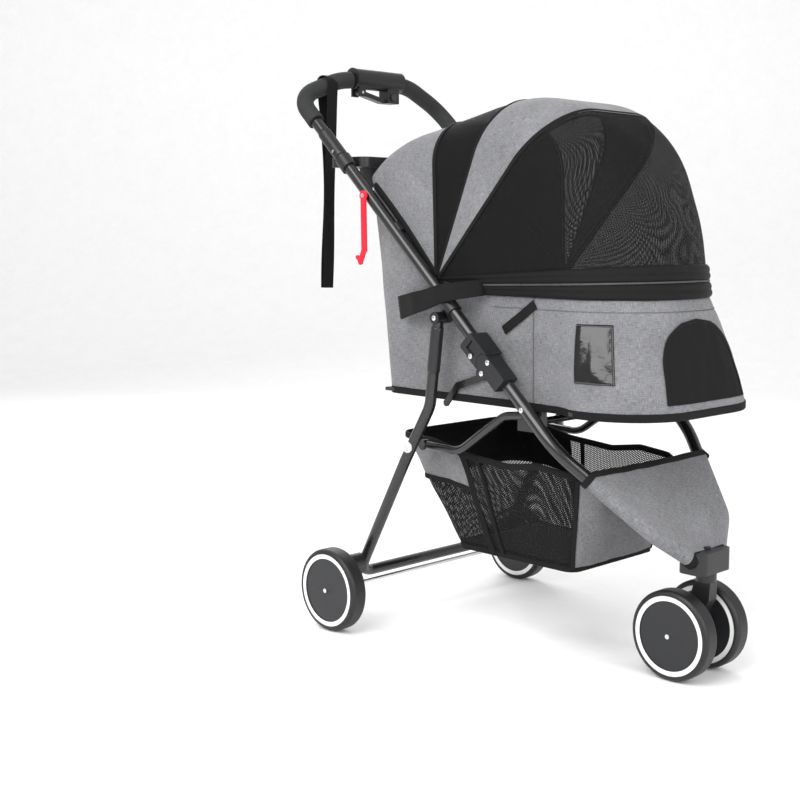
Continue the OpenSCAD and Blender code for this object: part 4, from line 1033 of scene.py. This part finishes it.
front_panel = surface("shield_cloth", shield_points[::-1], shield_cut[::-1], [grey_linen, black_lining])
lined = front_panel.modifiers.new("lining", "SOLIDIFY")
lined.thickness, lined.offset, lined.material_offset = 0.0014, -1, 1
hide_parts("front_shield")
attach(front_panel, "front_frame")
shield_face = unit(np.cross(heading(shield_points[0]), -tangent[0]))
shield_face *= np.sign(shield_face[29] @ lift[0])
for row, tag in ((0, "top"), (-1, "foot")):
    hem = swept(f"shield_{tag}_hem", shield_points[row] + shield_face * 0.0008, shield_face,
                band(0.011, 0.003), black_tape)
    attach(hem, "front_frame")

# ---- wrist strap ----
# A loop of 25 mm webbing over the right end of the crossbar: it lies on the foam and its
# two legs hang together to their sewn foot.
bar_x, bar_z, strap_y = -0.4155, 1.0006, -0.120
over = np.radians(np.linspace(-10, 190, 25))
legs_z = np.linspace(0, 1, 30)[:, None]
foot = np.array([bar_x + 0.001, strap_y, bar_z - 0.386])
top_arc = np.stack([bar_x + 0.0176 * np.cos(over), np.full(25, strap_y), bar_z + 0.0176 * np.sin(over)], -1)
spread_by = 0.0025 + 0.0138 * (1 - legs_z) ** 5 + 0.0016 * np.sin(9 * legs_z)
front_leg = np.concatenate([foot[0] + spread_by, strap_y + 0.004 * np.sin(4 * legs_z),
                            foot[2] + (top_arc[0, 2] - foot[2]) * (1 - legs_z)], 1)
rear_leg = np.concatenate([foot[0] - spread_by, strap_y + 0.004 * np.sin(4 * legs_z),
                           foot[2] + (top_arc[-1, 2] - foot[2]) * (1 - legs_z)], 1)
strap_line = np.concatenate([front_leg[::-1], top_arc, rear_leg])
strap_line = even(strap_line, 160)
away_from = unit(np.cross(heading(strap_line), [0.0, 1.0, 0.0]))
strap = swept("hanging_strap", strap_line, away_from, band(0.025, 0.0018), black_tape)
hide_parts("wrist_strap")
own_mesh(strap)
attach(strap, "handle")

# ---- tube fittings ----
# Moulded sleeves carry the tray's ends and the tops of the legs, and each link bolt
# bears on a white nylon washer.
nylon = hard_finish("white_nylon", (0.75, 0.75, 0.73), 0.45, 0.001, 0.00003, 0.05)


def sleeve(name, line, radius, finish, body):
    """Round sleeve along a line, its ends drawn in to a soft edge."""
    t = np.linspace(-1, 1, len(line))[:, None]
    grow = (1 - abs(t) ** 14) ** 0.5
    profile = ring(1, 1, 32)
    ahead = heading(line)
    side = unit(np.cross([0.31, 0.2, 0.93], ahead))
    lean = np.cross(ahead, side)
    points = line[:, None] + radius * (0.9 + 0.1 * grow[:, None]) * (
        profile[None, :, :1] * side[:, None] + profile[None, :, 1:] * lean[:, None])
    points = np.concatenate([line[:1, None] + 0 * points[:1], points, line[-1:, None] + 0 * points[:1]])
    cut = np.stack(np.broadcast_arrays(np.linspace(0, 0.1, 32)[None],
                                       np.linspace(0, 0.1, len(points))[:, None]), -1)
    piece = weld(surface(name, points, cut, [finish], wrap=True))
    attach(piece, body)
    return piece


for side, tag in ((-1, "right"), (1, "left")):
    sleeve(f"tray_sleeve_{tag}", beside(np.linspace(0.522, 0.590, 24), tube_n, side * tube_y), 0.0128,
           moulding, "handle")
    top, knee = np.array([-0.0345, side * 0.198, 0.5788]), np.array([-0.0538, side * 0.198, 0.425])
    along = np.linspace(0.10, 0.62, 24)[:, None]
    sleeve(f"leg_sleeve_{tag}", top * (1 - along) + knee * along, 0.0112, moulding,
           "rear_frame")
    bolt = np.array([-0.0998, side * 0.198, 0.34835])
    out_by = np.linspace(0.0085, 0.0125, 12)[:, None]
    sleeve(f"bolt_washer_{tag}", bolt + [0, side, 0] * out_by, 0.0098, nylon, "rear_frame")

# ---- soft goods' cuts ----
# Each cloth's flat size is what its pattern piece measures before sewing.
def declare(piece, held, rests_on, *others):
    """Reads a sheet's flat layout from the cut it was laid out on."""
    mesh = piece.data
    flat = np.empty(len(mesh.loops) * 2, np.float32)
    mesh.uv_layers["cut"].data.foreach_get("uv", flat)
    flat = flat.reshape(-1, 2)


named = bpy.data.objects
declare(cabin_cloth, "stretched", ["cabin_board", "rim_wire"],
        cabin_binding, hem_stitch, nose_net, nose_binding,
        side_patch, patch_stitch, *[named[f"side_{k}_{t}"] for k in ("seam", "tape") for t in ("right", "left")])
declare(hood_cloth, "stretched", ["canopy_bow"], *[named[f"hood_edge_{t}"] for t in ("right", "left")])
declare(named["canopy_net_band"], "stretched", ["canopy_bow"],
        named["canopy_hood_seam"], named["canopy_band_seam"])
declare(stripe, "stretched", ["canopy_bow"], named["canopy_bow_seam"])
declare(dome, "stretched", ["canopy_bow", "canopy_hoop"])
declare(tail_panel, "stretched", ["basket_net"])
declare(front_panel, "stretched", ["front_tube_left", "front_tube_right"],
        named["shield_top_hem"], named["shield_foot_hem"])
for tag in ("right", "left"):
    declare(named[f"zip_cover_{tag}"], "stretched",
            ["handle_tube_right" if tag == "right" else "handle_tube_left"])
for tag in ("lower", "upper"):
    declare(named[f"rim_zip_{tag}"], "stretched", ["rim_wire", "canopy_hoop"])
